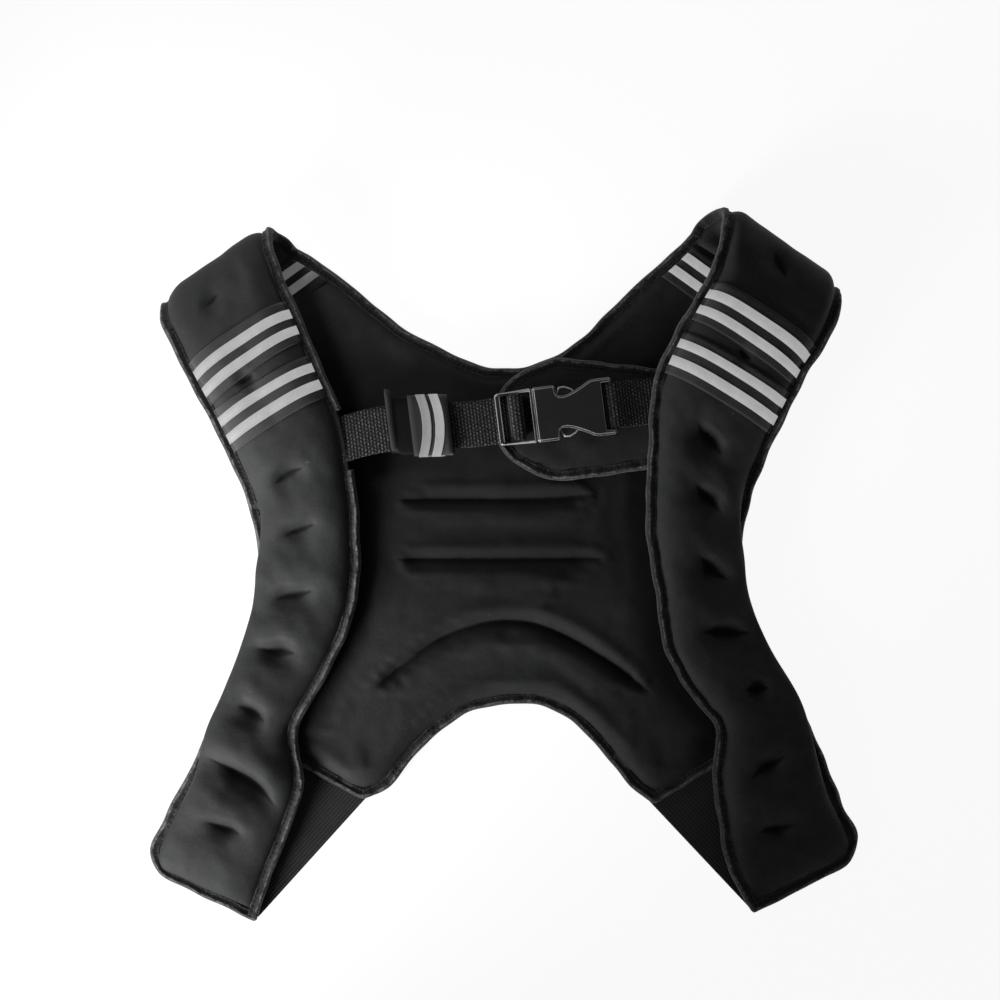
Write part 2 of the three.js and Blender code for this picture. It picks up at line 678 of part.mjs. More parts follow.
// Tape across a sheet: it follows the sheet's own grid, lifted clear of it.
function tapePatch({ grid, rowAt, stepAt, dip, lean }, centre, from, to, lift, thickness) {
  const steps = Math.max(1, Math.round((to - from) / TAPE_STEP));
  const columns = grid[0].length - 1;
  const patch = [];
  for (let k = 0; k <= steps; k++) {
    const row = [];
    for (let j = 0; j <= columns; j++) {
      const share = (2 * j) / columns - 1;
      const away = lerp(from, to, k / steps) + dip * Math.abs(share) ** 3;
      const middle = centre + (lean * (1 - share)) / 2;
      const place = rowAt(middle + away / stepAt(middle, share), share);
      const index = Math.min(Math.floor(place), grid.length - 2);
      const [near, far] = [grid[index][j], grid[index + 1][j]];
      const base = near.upper.clone().lerp(far.upper, place - index);
      const up = near.up.clone().lerp(far.up, place - index).normalize();
      row.push({
        upper: base.clone().addScaledVector(up, lift + thickness),
        lower: base.clone().addScaledVector(up, lift),
      });
    }
    patch.push(row);
  }
  return closedSheet([patch]);
}

function strapTapeBase(side, lean) {
  const strap = straps[side];
  return {
    grid: strap.grid,
    dip: TAPE_DIP,
    lean,
    rowAt: (row, share) => (row / strap.lowEnd(share, INSET)) * STRAP_ROWS,
    stepAt: (row, w) => strap.middle(row + 0.5, w).distanceTo(strap.middle(row - 0.5, w)),
  };
}

function armTapeBase(side) {
  const { outer, inner } = backEdges(side, INSET);
  const turned = side === "left" ? 1 : -1;
  const unit = NECK_SHARE / ARM_TAPE_ROWS;
  const perShare = BACK_ROWS.neck / (NECK_SHARE - BACK_START);
  const spotAt = (row, share) =>
    outer(row * unit).lerp(inner(row * unit), (turned * share + 1) / 2);
  const withUp = (cell) => ({ ...cell, up: new Vector3(0, 0, 1) });
  return {
    grid: backGrids[side].map((row) => row.map(withUp)),
    dip: 0,
    lean: 0,
    rowAt: (row) => Math.max(0, perShare * (row * unit - BACK_START)),
    stepAt: (row, share) => spotAt(row + 0.5, share).distanceTo(spotAt(row, share)) / 0.5,
  };
}

function tapePieces(name, base, row) {
  const half = TAPE_WIDTH / 2;
  const halfStripe = STRIPE_WIDTH / 2;
  const stripe = (place) =>
    tapePatch(base, row, place - halfStripe, place + halfStripe, STRIPE_LIFT, STRIPE_THICKNESS);
  return [
    [`${name}_band`, tapePatch(base, row, -half, half, TAPE_LIFT, TAPE_THICKNESS), "tape"],
    [`${name}_stripe_a`, stripe(-STRIPE_PLACE), "stripe"],
    [`${name}_stripe_b`, stripe(STRIPE_PLACE), "stripe"],
  ];
}

// Elastic side piece: a thin flat sheet from under the wing to under the strap's lower end
function elasticSheet(rows) {
  const pair = (x, y) => ({
    upper: new Vector3(x, y, ELASTIC_LIFT + ELASTIC_THICKNESS),
    lower: new Vector3(x, y, ELASTIC_LIFT),
  });
  const patch = [0, 0.5, 1].map((share) =>
    rows.map((row) => pair(lerp(row.wingX, row.strapX, share), lerp(row.wingY, row.strapY, share))),
  );
  return closedSheet([patch]);
}

// Chest webbing: a flat strip along its route, in the buckle's directions
function webStrip(rows) {
  const places = rows.map(({ along, aside, height }) => new Vector3(along, aside, height));
  const patch = places.map((place, i) => {
    const before = places[Math.max(i - 1, 0)];
    const after = places[Math.min(i + 1, places.length - 1)];
    const run = after.clone().sub(before);
    const up = new Vector3(-run.z, 0, run.x).setLength(WEB_THICKNESS / 2);
    return [-WEB_WIDTH / 2, 0, WEB_WIDTH / 2].map((aside) => {
      const spot = place.clone().add(new Vector3(0, aside, 0));
      return { upper: spot.clone().add(up), lower: spot.clone().sub(up) };
    });
  });
  return closedSheet([patch]);
}

// Keeper: rings with rounded corners, wider at the rolled rim
function sleeveRing({ along, halfWidth, halfHeight }, grow) {
  return Array.from({ length: SLEEVE_SIDES }, (_, i) => {
    const angle = (2 * Math.PI * (i + 0.5)) / SLEEVE_SIDES;
    const round = (value) => Math.sign(value) * Math.abs(value) ** SLEEVE_ROUND;
    const aside = SLEEVE_MIDDLE.aside + (halfWidth + grow) * round(Math.cos(angle));
    const height = SLEEVE_MIDDLE.height + (halfHeight + grow) * round(Math.sin(angle));
    return new Vector3(along, aside, height);
  });
}

function keeperSleeve() {
  const bores = SLEEVE_RINGS.map((ring) => ({ ...SLEEVE_RINGS.at(-1), along: ring.along }));
  return boredBody(
    SLEEVE_RINGS.map((ring) => sleeveRing(ring, 0)),
    bores.map((ring) => sleeveRing(ring, -SLEEVE_WALL)),
  );
}

function keeperLayer({ from, to }, lift, thickness) {
  const rings = [from, to].map((along) => ({ ...KEEPER_BODY, along }));
  return boredBody(
    rings.map((ring) => sleeveRing(ring, lift + thickness)),
    rings.map((ring) => sleeveRing(ring, lift)),
  );
}

const keeperStripe = (place) => keeperLayer(place, 2 * GAP + KEEPER_THICKNESS, STRIPE_THICKNESS);

// Buckle: shapes are drawn along the strap and across it, and carried up through their height
function plate(shape, height, bevel) {
  const options = {
    depth: height - 2 * bevel,
    bevelEnabled: bevel > 0,
    bevelThickness: bevel,
    bevelSize: bevel,
    bevelOffset: -bevel,
    bevelSegments: 1,
    curveSegments: 6,
  };
  return new THREE.ExtrudeGeometry(shape, options).translate(0, 0, bevel - height / 2);
}

function block({ from, to }, width, low, high) {
  const body = new THREE.BoxGeometry(to - from, width, high - low);
  return body.translate((from + to) / 2, 0, (low + high) / 2);
}

const shapePoint = ({ along, aside }) => new THREE.Vector2(along, aside);
const otherSide = ({ along, aside }) => ({ along, aside: -aside });

function mirroredShape(rows) {
  const lower = rows.map(otherSide).reverse();
  return new THREE.Shape([...rows, ...lower].map(shapePoint));
}

function buckleSocket() {
  const waist = new THREE.CubicBezierCurve(...SOCKET_WAIST.map(shapePoint));
  const sideline = waist.getPoints(SOCKET_WAIST_STEPS).map(({ x, y }) => ({ along: x, aside: y }));
  const shape = mirroredShape([...SOCKET_MOUTH, ...sideline, ...SOCKET_REAR]);
  const past = SOCKET_HEIGHT / 2 + PAST;
  const cavity = { from: -PAST, to: CAVITY.length };
  const rear = { from: SOCKET_SLOT.to - GAP, to: SOCKET_LENGTH + PAST };
  return cut(plate(shape, SOCKET_HEIGHT, BUCKLE_BEVEL.socket), [
    block(cavity, CAVITY.width, -CAVITY.height / 2, CAVITY.height / 2),
    block(SOCKET_SLOT, BAR_SPAN, -past, past),
    block(rear, BAR_SPAN, BAR_HALF, past),
    block(rear, BAR_SPAN, -past, -BAR_HALF),
  ]);
}

function buckleFrame() {
  const past = FRAME_HEIGHT / 2 + PAST;
  const bar = BAR_HEIGHT / 2;
  const frame = cut(plate(mirroredShape(FRAME_RAILS), FRAME_HEIGHT, BUCKLE_BEVEL.frame), [
    ...FRAME_SLOTS.map((slot) => block(slot, BAR_SPAN, -past, past)),
    block(FRAME_ENDS, BAR_SPAN, bar, past),
    block(FRAME_ENDS, BAR_SPAN, -past, -bar),
  ]);
  const prongs = [
    new THREE.Shape(PRONG_ARM.map(shapePoint)),
    new THREE.Shape(PRONG_ARM.map(otherSide).map(shapePoint)),
    mirroredShape(PRONG_GUIDE),
  ];
  let solid = solidOf(frame);
  for (const prong of prongs) {
    solid = solid.add(solidOf(plate(prong, PRONG_HEIGHT, BUCKLE_BEVEL.prong)));
  }
  return geometryOf(solid);
}

// Guard pad: a half oval under the buckle, sewn in under the right strap's edge
function guardLine(share, inset) {
  const middle = (GUARD.top + GUARD.bottom) / 2;
  const half = (GUARD.top - GUARD.bottom) / 2 - inset;
  const nose = GUARD.nose - inset;
  if (share < 0.5) {
    const angle = share * Math.PI;
    const x = GUARD.left + inset + nose * (1 - Math.cos(angle));
    return { x, top: middle + half * Math.sin(angle), bottom: middle - half * Math.sin(angle) };
  }
  const part = 2 * share - 1;
  return {
    x: lerp(GUARD.left + GUARD.nose, GUARD.right, part),
    top: lerp(GUARD.top, GUARD_END.top, part) - inset,
    bottom: lerp(GUARD.bottom, GUARD_END.bottom, part) + inset,
  };
}

function guardPad() {
  const patch = GUARD_PAD_SHARES.map((share, i) => {
    const { x, top, bottom } = guardLine(share, INSET);
    return Array.from({ length: GUARD_COLUMNS + 1 }, (_, j) => {
      const y = lerp(top, bottom, j / GUARD_COLUMNS);
      const inside = i > 0 && j > 0 && j < GUARD_COLUMNS ? GUARD.loft : 0;
      return {
        upper: new Vector3(x, y, GUARD.low + RIM + inside),
        lower: new Vector3(x, y, GUARD.low),
      };
    });
  });
  return closedSheet([patch]);
}

function guardBinding() {
  const height = GUARD.low + RIM / 2;
  const sample = (share, key) => {
    const centre = guardLine(share, HALF_BINDING);
    const edge = guardLine(share, 0);
    const place = new Vector3(centre.x, centre[key], height);
    return { centre: place, out: new Vector3(edge.x, edge[key], height).sub(place).normalize() };
  };
  const nose = { centre: new Vector3(GUARD.left + HALF_BINDING, sample(0, "top").centre.y, height) };
  return bindingBody([
    ...GUARD_EDGE_SHARES.map((share) => sample(share, "top")),
    { ...nose, out: new Vector3(-1, 0, 0) },
    ...GUARD_EDGE_SHARES.map((share) => sample(share, "bottom")).reverse(),
  ]);
}

// Finishes
const FINISHES = {
  neoprene: { color: 0x1a1b1d, roughness: 0.8, metalness: 0 },
  binding: { color: 0x202123, roughness: 0.9, metalness: 0 },
  tape: { color: 0x2c2d30, roughness: 0.75, metalness: 0 },
  stripe: { color: 0xb8babd, roughness: 0.45, metalness: 0.3 },
  webbing: { color: 0x151618, roughness: 0.85, metalness: 0 },
  elastic: { color: 0x141517, roughness: 0.9, metalness: 0 },
  plastic: { color: 0x111214, roughness: 0.4, metalness: 0 },
};

function piece(name, geometry, finish) {
  const mesh = new THREE.Mesh(geometry, new THREE.MeshStandardMaterial(FINISHES[finish]));
  mesh.name = name;
  return mesh;
}

const vest = new THREE.Group();
const buckle = new THREE.Group();
const chest = new THREE.Group();

vest.add(
  piece("back_panel", backPanel, "neoprene"),
  piece("strap_left", strapBody("left"), "neoprene"),
  piece("strap_right", strapBody("right"), "neoprene"),
  piece("neck_binding", neckBinding(), "binding"),
  piece("edge_binding", edgeBinding(), "binding"),
  piece("left_neck_binding", leftNeckBinding(), "binding"),
  piece("left_strap_binding", strapRun("left", WEB_GAP_ROWS.to), "binding"),
  piece("right_strap_binding", strapRun("right", 0), "binding"),
  piece("elastic_left", elasticSheet(LEFT_ELASTIC), "elastic"),
  piece("elastic_right", elasticSheet(RIGHT_ELASTIC), "elastic"),
  piece("buckle_guard", guardPad(), "neoprene"),
  piece("guard_binding", guardBinding(), "binding"),
);

for (const side of ["left", "right"]) {
  const pieces = [
    ...tapePieces(`${side}_upper`, strapTapeBase(side, TAPE_LEAN[side].upper), TAPE_ROW[side].upper),
    ...tapePieces(`${side}_lower`, strapTapeBase(side, TAPE_LEAN[side].lower), TAPE_ROW[side].lower),
    ...tapePieces(`${side}_inner`, armTapeBase(side), TAPE_ROW[side].inner),
  ];
  vest.add(...pieces.map((entry) => piece(...entry)));
}

buckle.add(
  piece("buckle_socket", buckleSocket(), "plastic"),
  piece("buckle_frame", buckleFrame(), "plastic"),
);
buckle.position.z = BUCKLE_SPOT.z;

chest.add(
  buckle,
  piece("chest_web_left", webStrip(LEFT_WEB), "webbing"),
  piece("chest_web_right", webStrip(RIGHT_WEB), "webbing"),
  piece("keeper_sleeve", keeperSleeve(), "webbing"),
  piece("keeper_band", keeperLayer(KEEPER_TAPE, GAP, KEEPER_THICKNESS), "tape"),
  piece("keeper_stripe_a", keeperStripe(KEEPER_STRIPES[0]), "stripe"),
  piece("keeper_stripe_b", keeperStripe(KEEPER_STRIPES[1]), "stripe"),
);
chest.position.set(BUCKLE_SPOT.x, BUCKLE_SPOT.y, 0);
chest.rotation.z = BUCKLE_TURN;
vest.add(chest);
vest.position.set(ORIGIN_SHIFT.x, ORIGIN_SHIFT.y, 0);

export default vest;
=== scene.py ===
import math

import bpy
import numpy as np
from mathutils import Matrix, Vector


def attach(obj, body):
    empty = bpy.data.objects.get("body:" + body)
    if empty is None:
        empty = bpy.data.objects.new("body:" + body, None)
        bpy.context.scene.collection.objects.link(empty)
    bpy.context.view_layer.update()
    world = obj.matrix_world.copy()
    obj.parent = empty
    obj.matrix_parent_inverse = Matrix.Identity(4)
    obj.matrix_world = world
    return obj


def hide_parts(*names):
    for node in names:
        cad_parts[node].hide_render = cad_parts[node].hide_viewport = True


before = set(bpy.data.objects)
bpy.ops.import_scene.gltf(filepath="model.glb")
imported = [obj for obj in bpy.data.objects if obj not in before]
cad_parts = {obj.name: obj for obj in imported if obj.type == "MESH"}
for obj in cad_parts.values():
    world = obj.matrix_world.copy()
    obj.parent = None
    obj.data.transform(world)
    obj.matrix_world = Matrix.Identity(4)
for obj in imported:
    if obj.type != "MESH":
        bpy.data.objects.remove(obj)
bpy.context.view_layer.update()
mm = 0.001
shift = np.array([-0.15, 1.0, 0.0])  # brings the middle of the outline to the origin, in mm
leastHeight = 0.05  # above the floor, in mm
print("frame:", len(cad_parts), "nodes")


# lines and surfaces, in millimetres

def curveThrough(points):
    # a smooth cubic from point to point, each span timed by the root of its length
    p = np.asarray(points, float)
    spans = len(p) - 1
    p = np.vstack([2 * p[0] - p[1], p, 2 * p[-1] - p[-2]])
    time = np.linalg.norm(np.diff(p, axis=0), axis=1) ** 0.5

    def at(share):
        place = np.clip(np.asarray(share, float), 0, 1) * spans
        i = np.minimum(place.astype(int), spans - 1)
        f = (place - i)[..., None]
        a, b, c, d = p[i], p[i + 1], p[i + 2], p[i + 3]
        t1 = np.where(time[i + 1] < 1e-4, 1, time[i + 1])[..., None]
        t0 = np.where(time[i] < 1e-4, t1[..., 0], time[i])[..., None]
        t2 = np.where(time[i + 2] < 1e-4, t1[..., 0], time[i + 2])[..., None]
        s = ((b - a) / t0 - (c - a) / (t0 + t1) + (c - b) / t1) * t1
        e = ((c - b) / t1 - (d - b) / (t1 + t2) + (d - c) / t2) * t1
        return b + s * f + (3 * (c - b) - 2 * s - e) * f**2 + (2 * (b - c) + s + e) * f**3

    return at


def unit(v):
    return v / np.maximum(np.linalg.norm(v, axis=-1, keepdims=True), 1e-9)


def smooth(x, low, high):
    t = np.clip((x - low) / (high - low), 0, 1)
    return t * t * (3 - 2 * t)


def lumps(p, size, seed, count=14):
    # sum of plane waves about size mm long, in random directions: soft lumps from about -1 to 1
    rng = np.random.default_rng(seed)
    way = rng.normal(size=(count, p.shape[-1]))
    k = 2 * np.pi / size * rng.uniform(0.6, 1.5, (count, 1)) * unit(way)
    return np.cos(p @ k.T + rng.uniform(0, 2 * np.pi, count)).sum(-1) / math.sqrt(count)


def runOf(p):
    # length along a line, at each of its points
    return np.r_[0, np.cumsum(np.linalg.norm(np.diff(p, axis=0), axis=1))]


def resample(p, step):
    # equal steps along a line of points
    along = runOf(p[:, :3])
    stops = np.linspace(0, along[-1], max(2, int(round(along[-1] / step))) + 1)
    return np.stack([np.interp(stops, along, p[:, k]) for k in range(p.shape[1])], -1)


def rounded(p, reach):
    # running mean over reach samples to each side, its two ends kept
    kernel = np.hanning(2 * reach + 3)[1:-1]
    kernel /= kernel.sum()
    ends = 2 * p[0] - p[reach:0:-1], 2 * p[-1] - p[-2:-reach - 2:-1]
    wide = np.vstack([ends[0], p, ends[1]])
    return np.stack([np.convolve(wide[:, k], kernel, "valid") for k in range(p.shape[1])], -1)


def gridQuads(ids):
    return np.stack([ids[:-1, :-1], ids[1:, :-1], ids[1:, 1:], ids[:-1, 1:]], -1).reshape(-1, 4)


def pointsOut(points, quads):
    # whether the faces enclose a positive volume
    a, b, c, d = (points[quads[:, k]] for k in range(4))
    return (a * (np.cross(b, c) + np.cross(c, d))).sum() > 0


def facingOut(points, quads):
    return quads if pointsOut(points, quads) else quads[:, ::-1]


def closedSheet(patches):
    # each patch is (upper, lower, lie): two grids of points and the cloth's own coordinates.
    # Points that patches share are welded, and a wall closes every free edge
    upper = np.vstack([u.reshape(-1, 3) for u, _, _ in patches])
    lower = np.vstack([w.reshape(-1, 3) for _, w, _ in patches])
    lie = np.vstack([t.reshape(-1, 3) for _, _, t in patches])
    _, first, weld = np.unique(np.round(upper, 3), axis=0, return_index=True, return_inverse=True)
    weld = weld.ravel()
    start, quads = 0, []
    for u, _, _ in patches:
        ids = start + np.arange(u.shape[0] * u.shape[1]).reshape(u.shape[:2])
        quads.append(weld[gridQuads(ids)])
        start += ids.size
    quads = np.vstack(quads)
    n = len(first)
    edges = np.vstack([quads[:, [k, (k + 1) % 4]] for k in range(4)])
    free = edges[~np.isin(edges[:, 0] * n + edges[:, 1], edges[:, 1] * n + edges[:, 0])]
    wall = np.stack([free[:, 0], free[:, 0] + n, free[:, 1] + n, free[:, 1]], -1)
    points = np.vstack([upper[first], lower[first]])
    faces = np.vstack([quads, quads[:, ::-1] + n, wall])
    return points, facingOut(points, faces), np.vstack([lie[first], lie[first]])


def sweptRings(rings, lie):
    # rings (steps, sides, 3) joined by quads, with a flat cap on each end
    steps, sides = rings.shape[:2]
    ids = np.arange(steps * sides).reshape(steps, sides)
    points, quads = rings.reshape(-1, 3), gridQuads(np.hstack([ids, ids[:, :1]]))
    outward = pointsOut(points, quads)
    caps = [ids[0], ids[-1][::-1]] if outward else [ids[0][::-1], ids[-1]]
    quads = quads if outward else quads[:, ::-1]
    return points, quads.tolist() + [cap.tolist() for cap in caps], lie.reshape(-1, 3)


def makePiece(name, made, material):
    # stands for the CAD node of the same name
    points, faces, lie = made
    mesh = bpy.data.meshes.new(name + "_look")
    mesh.from_pydata((points + shift) * mm, [], faces)
    mesh.attributes.new("lie", "FLOAT_VECTOR", "POINT")
    mesh.attributes["lie"].data.foreach_set("vector", (lie * mm).astype(np.float32).ravel())
    mesh.shade_smooth()
    mesh.materials.append(material)
    piece = bpy.data.objects.new(name + "_look", mesh)
    bpy.context.scene.collection.objects.link(piece)
    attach(piece, "root")
    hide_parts(name)
    return piece


# shader sums: each operator adds a Math node

class Wire:
    def __init__(self, tree, socket=None):
        self.tree, self.socket = tree, socket

    def add(self, kind, settings=None, inputs=None, out=0):
        node = self.tree.nodes.new("ShaderNode" + kind)
        for key, value in (settings or {}).items():
            setattr(node, key, value)
        for key, value in (inputs or {}).items():
            if isinstance(value, Wire):
                self.tree.links.new(value.socket, node.inputs[key])
            else:
                node.inputs[key].default_value = value
        return Wire(self.tree, node.outputs[out])

    def sums(self, operation, *values):
        return self.add("Math", {"operation": operation}, dict(enumerate(values)))

    def __add__(self, other):
        return self.sums("ADD", self, other)

    def __radd__(self, other):
        return self.sums("ADD", other, self)

    def __sub__(self, other):
        return self.sums("SUBTRACT", self, other)

    def __rsub__(self, other):
        return self.sums("SUBTRACT", other, self)

    def __mul__(self, other):
        return self.sums("MULTIPLY", self, other)

    def __rmul__(self, other):
        return self.sums("MULTIPLY", other, self)

    def sine(self):
        return self.sums("SINE", self)

    def size(self):
        return self.sums("ABSOLUTE", self)

    def turns(self, pitch):
        # an angle that goes round once in each pitch
        return self * (2 * math.pi / pitch)

    def part(self, k):
        return self.add("SeparateXYZ", None, {0: self}, out=k)

    def within(self, low, high):
        # 0 up to low, 1 from high, smooth between them
        return self.add("MapRange", {"interpolation_type": "SMOOTHSTEP", "clamp": True},
                        {"Value": self, "From Min": low, "From Max": high})

    def noise(self, scale, detail=2.0, rough=0.5):
        return self.add("TexNoise", None,
                        {"Vector": self, "Scale": scale, "Detail": detail, "Roughness": rough})

    def mixed(self, first, second):
        # a colour between two others, by this value
        return self.add("Mix", {"data_type": "RGBA"}, {0: self, 6: first, 7: second}, out=2)


def newFinish(name, fixed):
    material = bpy.data.materials.new(name)
    material.use_nodes = True
    tree = material.node_tree
    shader = tree.nodes["Principled BSDF"]
    for key, value in fixed.items():
        shader.inputs[key].default_value = value
    return material, Wire(tree), shader


def newCloth(name, sheen, nap, gloss):
    return newFinish(name, {"Sheen Weight": sheen, "Sheen Roughness": nap, "Specular IOR Level": gloss})


def setFinish(wire, shader, colour, rough, height, strength, depth):
    wire.tree.links.new(colour.socket, shader.inputs["Base Color"])
    wire.tree.links.new(rough.socket, shader.inputs["Roughness"])
    bump = wire.add("Bump", None, {"Strength": strength, "Distance": depth, "Height": height})
    wire.tree.links.new(bump.socket, shader.inputs["Normal"])


def grey(value, warm=0.0):
    return (value * (1 + warm), value, value * (1 - warm), 1)


def toned(tone, look):
    return tone.mixed(grey(look["dark"]), grey(look["pale"]))


def places(wire):
    return wire.add("TexCoord", out="Object")


def clothPlace(wire):
    # the cloth's own coordinates, in metres: along, across, and the depth of the painted shade
    return wire.add("Attribute", {"attribute_name": "lie"}, out="Vector")


paintedShadeSpan = (0.0004, 0.0034)  # depth at which painted shade starts to darken the cloth, and where it is darkest
neopreneLook = {"dark": 0.0115, "pale": 0.0275, "paintedShade": 0.0012, "lint": 0.06, "rough": 0.64, "bump": 0.35}


def makeNeoprene():
    # knit face: cloudy black, fine grain of loops, painted shade in its creases, seams and shaded places, a
    # few pale specks of lint
    look = neopreneLook
    material, wire, shader = newCloth("neoprene", 0.03, 0.5, 0.25)
    place = places(wire)
    paintedShade = clothPlace(wire).part(2).within(*paintedShadeSpan)
    cloud = place.noise(22, 3)
    grain = place.noise(1300, 2, 0.6)
    loops = place.noise(620, 1)
    speck = place.noise(310, 0).within(0.86, 0.9) * place.noise(1900, 0).within(0.35, 0.6)
    tone = cloud * 0.4 + place.noise(130, 3, 0.6) * 0.35 + grain * 0.25 + loops * 0.15
    colour = tone.within(0.3, 0.8).mixed(grey(look["dark"], -0.02), grey(look["pale"], -0.03))
    # painted shade: darker where the third cloth coordinate is deep
    colour = paintedShade.mixed(speck.mixed(colour, grey(look["lint"])), grey(look["paintedShade"]))
    rough = look["rough"] + grain * 0.12 + cloud * 0.08 + paintedShade * 0.3
    height = grain * 0.6 + loops * 0.7 + place.noise(90, 2) * 1.6
    setFinish(wire, shader, colour, rough, height, look["bump"], 0.0005)
    return material


bindingLook = {"dark": 0.006, "pale": 0.03, "ridgeSheen": 0.15, "thread": 0.003, "rib": 0.0011, "stitch": 0.0034,
               "stitchAt": 0.0017, "ridges": (0.0003, 0.0049)}


def makeBinding():
    # knit tape: ribs across its run, a sunk row of stitches beside a ridge with a pale painted sheen, fuzz
    look = bindingLook
    material, wire, shader = newCloth("binding", 0.3, 0.5, 0.2)
    lie = clothPlace(wire)
    along, across = lie.part(0), lie.part(1)
    fuzz = lie.noise(1500, 3, 0.7)
    worn = lie.noise(70, 3, 0.6)
    rib = (along.turns(look["rib"]) + worn * 6).sine() * 0.5 + 0.5
    sway = (worn - 0.5) * 0.0022
    row = 1 - (across + sway - look["stitchAt"]).size().within(0.0003, 0.0014)
    dash = along.turns(look["stitch"]).sine().within(-0.35, 0.1)
    inner, outer = (1 - (across + sway - at).size().within(0.0002, 0.0011) for at in look["ridges"])
    tone = (fuzz * 0.6 + worn * 0.45 + rib * 0.2).within(0.35, 0.95)
    colour = toned(tone, look)
    # painted sheen: pale patches along the outer ridge, and faintly along the inner one
    paintedSheen = (inner * 0.15 + outer) * lie.noise(330, 3, 0.7).within(0.36, 0.64)
    colour = paintedSheen.mixed(colour, grey(look["ridgeSheen"]))
    colour = (row * (dash * 0.4 + 0.6)).mixed(colour, grey(look["thread"]))
    height = rib * 0.5 + fuzz * 1.3 + worn * 1.2 + row * (dash - 1.0) * 0.8
    setFinish(wire, shader, colour, 0.72 + fuzz * 0.2, height, 0.7, 0.0006)
    return material


tapeLook = {"dark": 0.011, "pale": 0.05, "paintedShade": 0.002, "warp": 0.0013, "weft": 0.0011}


def makeTape():
    # close plain weave: two sets of ribs that take turns on top; darker where little light comes in
    look = tapeLook
    material, wire, shader = newCloth("tape", 0.25, 0.5, 0.3)
    lie = clothPlace(wire)
    fuzz = lie.noise(1400, 3, 0.7)
    weave = lie.part(0).turns(look["warp"]).sine() * lie.part(1).turns(look["weft"]).sine() * 0.5 + 0.5
    colour = toned((weave * 0.5 + fuzz * 0.6).within(0.2, 0.95), look)
    colour = lie.part(2).within(*paintedShadeSpan).mixed(colour, grey(look["paintedShade"]))
    setFinish(wire, shader, colour, 0.62 + fuzz * 0.2, weave + fuzz * 0.8, 0.5, 0.0004)
    return material


stripeLook = {"dark": 0.26, "pale": 0.38, "shadedGlow": 0.05, "body": (0.07, 0.11), "glow": 1.12}


def makeStripe():
    # silver beads in a fine grain, a little dulled in patches; a weak glow, painted light, stands in for the
    # light that such beads send straight back to a lamp beside the camera, and painted shade dims it on
    # shaded stripes
    look = stripeLook
    material, wire, shader = newFinish("reflectiveStripe", {
        "Metallic": 0.0, "Specular IOR Level": 0.3, "Emission Strength": look["glow"]})
    lie = clothPlace(wire)
    beads = lie.noise(2100, 2, 0.8)
    worn = lie.noise(120, 3)
    grain = (beads * 0.75 + worn * 0.35).within(0.3, 0.8)
    sent = toned(grain, look)
    # painted shade: the glow dims where the third cloth coordinate is deep
    sent = lie.part(2).within(*paintedShadeSpan).mixed(sent, grey(look["shadedGlow"]))
    wire.tree.links.new(sent.socket, shader.inputs["Emission Color"])
    colour = grain.mixed(*(grey(value) for value in look["body"]))
    setFinish(wire, shader, colour, 0.6 + worn * 0.15, beads, 0.3, 0.0002)
    return material


webLook = {"dark": 0.003, "pale": 0.15, "rib": 0.0021, "yarn": 0.0024}


def makeWebbing():
    # ribs across the strap, each broken into yarns that step along by half a yarn from rib to rib
    look = webLook
    material, wire, shader = newCloth("webbing", 0.15, 0.45, 0.25)
    lie = clothPlace(wire)
    fuzz = lie.noise(1500, 2, 0.6)
    turn = lie.part(0).turns(look["rib"])
    rib = turn.sine() * 0.5 + 0.5
    yarn = (lie.part(1).turns(look["yarn"]) + (turn * 0.5).sine() * 2.2).sine() * 0.5 + 0.5
    knots = rib * (yarn * 0.75 + 0.25)
    beads = knots * (lie.noise(760, 2, 0.7).within(0.32, 0.7) * 0.8 + 0.2)
    colour = toned((beads + fuzz * 0.25).within(0.2, 0.92), look)
    setFinish(wire, shader, colour, 0.6 + fuzz * 0.2, knots * 1.2 + fuzz * 0.7, 0.7, 0.0005)
    return material


elasticLook = {"dark": 0.002, "pale": 0.026, "rib": 0.0021, "cross": 0.0016}


def makeElastic():
    # close ribs along its stretch, crossed by a finer weave
    look = elasticLook
    material, wire, shader = newCloth("elastic", 0.3, 0.5, 0.3)
    lie = clothPlace(wire)
    fuzz = lie.noise(1400, 2, 0.6)
    rib = lie.part(1).turns(look["rib"]).sine() * 0.5 + 0.5
    cross = lie.part(0).turns(look["cross"]).sine() * 0.5 + 0.5
    weave = rib * (cross * 0.5 + 0.5)
    tone = weave * 0.6 + fuzz * 0.4 + lie.noise(160, 3, 0.6) * 0.35
    colour = toned(tone.within(0.35, 0.95), look)
    setFinish(wire, shader, colour, 0.7 + fuzz * 0.2, weave * 0.6 + fuzz * 0.8, 0.5, 0.0004)
    return material


# the edge and rail finishes are pale: a painted highlight on the buckle's rounded edges
plasticLook = {
    "face": ("bucklePlastic", 0.014, 0.024, 0.5), "edge": ("edgeHighlightPlastic", 0.28, 0.6, 0.9),
    "rail": ("railHighlightPlastic", 0.4, 0.7, 1.0), "rough": 0.26}


def makePlastic(name, dark, pale, sheen):
    # moulded plastic: faint flow clouds, fine mould grain and light handling scuffs
    material, wire, shader = newFinish(name, {"Specular IOR Level": sheen})
    place = places(wire)
    cloud = place.noise(60, 3)
    grain = place.noise(2600, 2, 0.6)
    scuff = place.noise(340, 4, 0.75).within(0.62, 0.72)
    colour = (cloud * 0.7 + scuff * 0.3).within(0.3, 0.8).mixed(grey(dark), grey(pale))
    rough = plasticLook["rough"] + cloud * 0.08 + scuff * 0.1 + grain * 0.05
    setFinish(wire, shader, colour, rough, grain + scuff * 0.4, 0.12, 0.0002)
    return material


finishes = {
    "neoprene": makeNeoprene(), "binding": makeBinding(), "tape": makeTape(), "stripe": makeStripe(),
    "webbing": makeWebbing(), "elastic": makeElastic(), "plastic": makePlastic(*plasticLook["face"]),
    "edgeHighlight": makePlastic(*plasticLook["edge"]), "railHighlight": makePlastic(*plasticLook["rail"])}
print("finishes:", len(finishes))


# bound edges

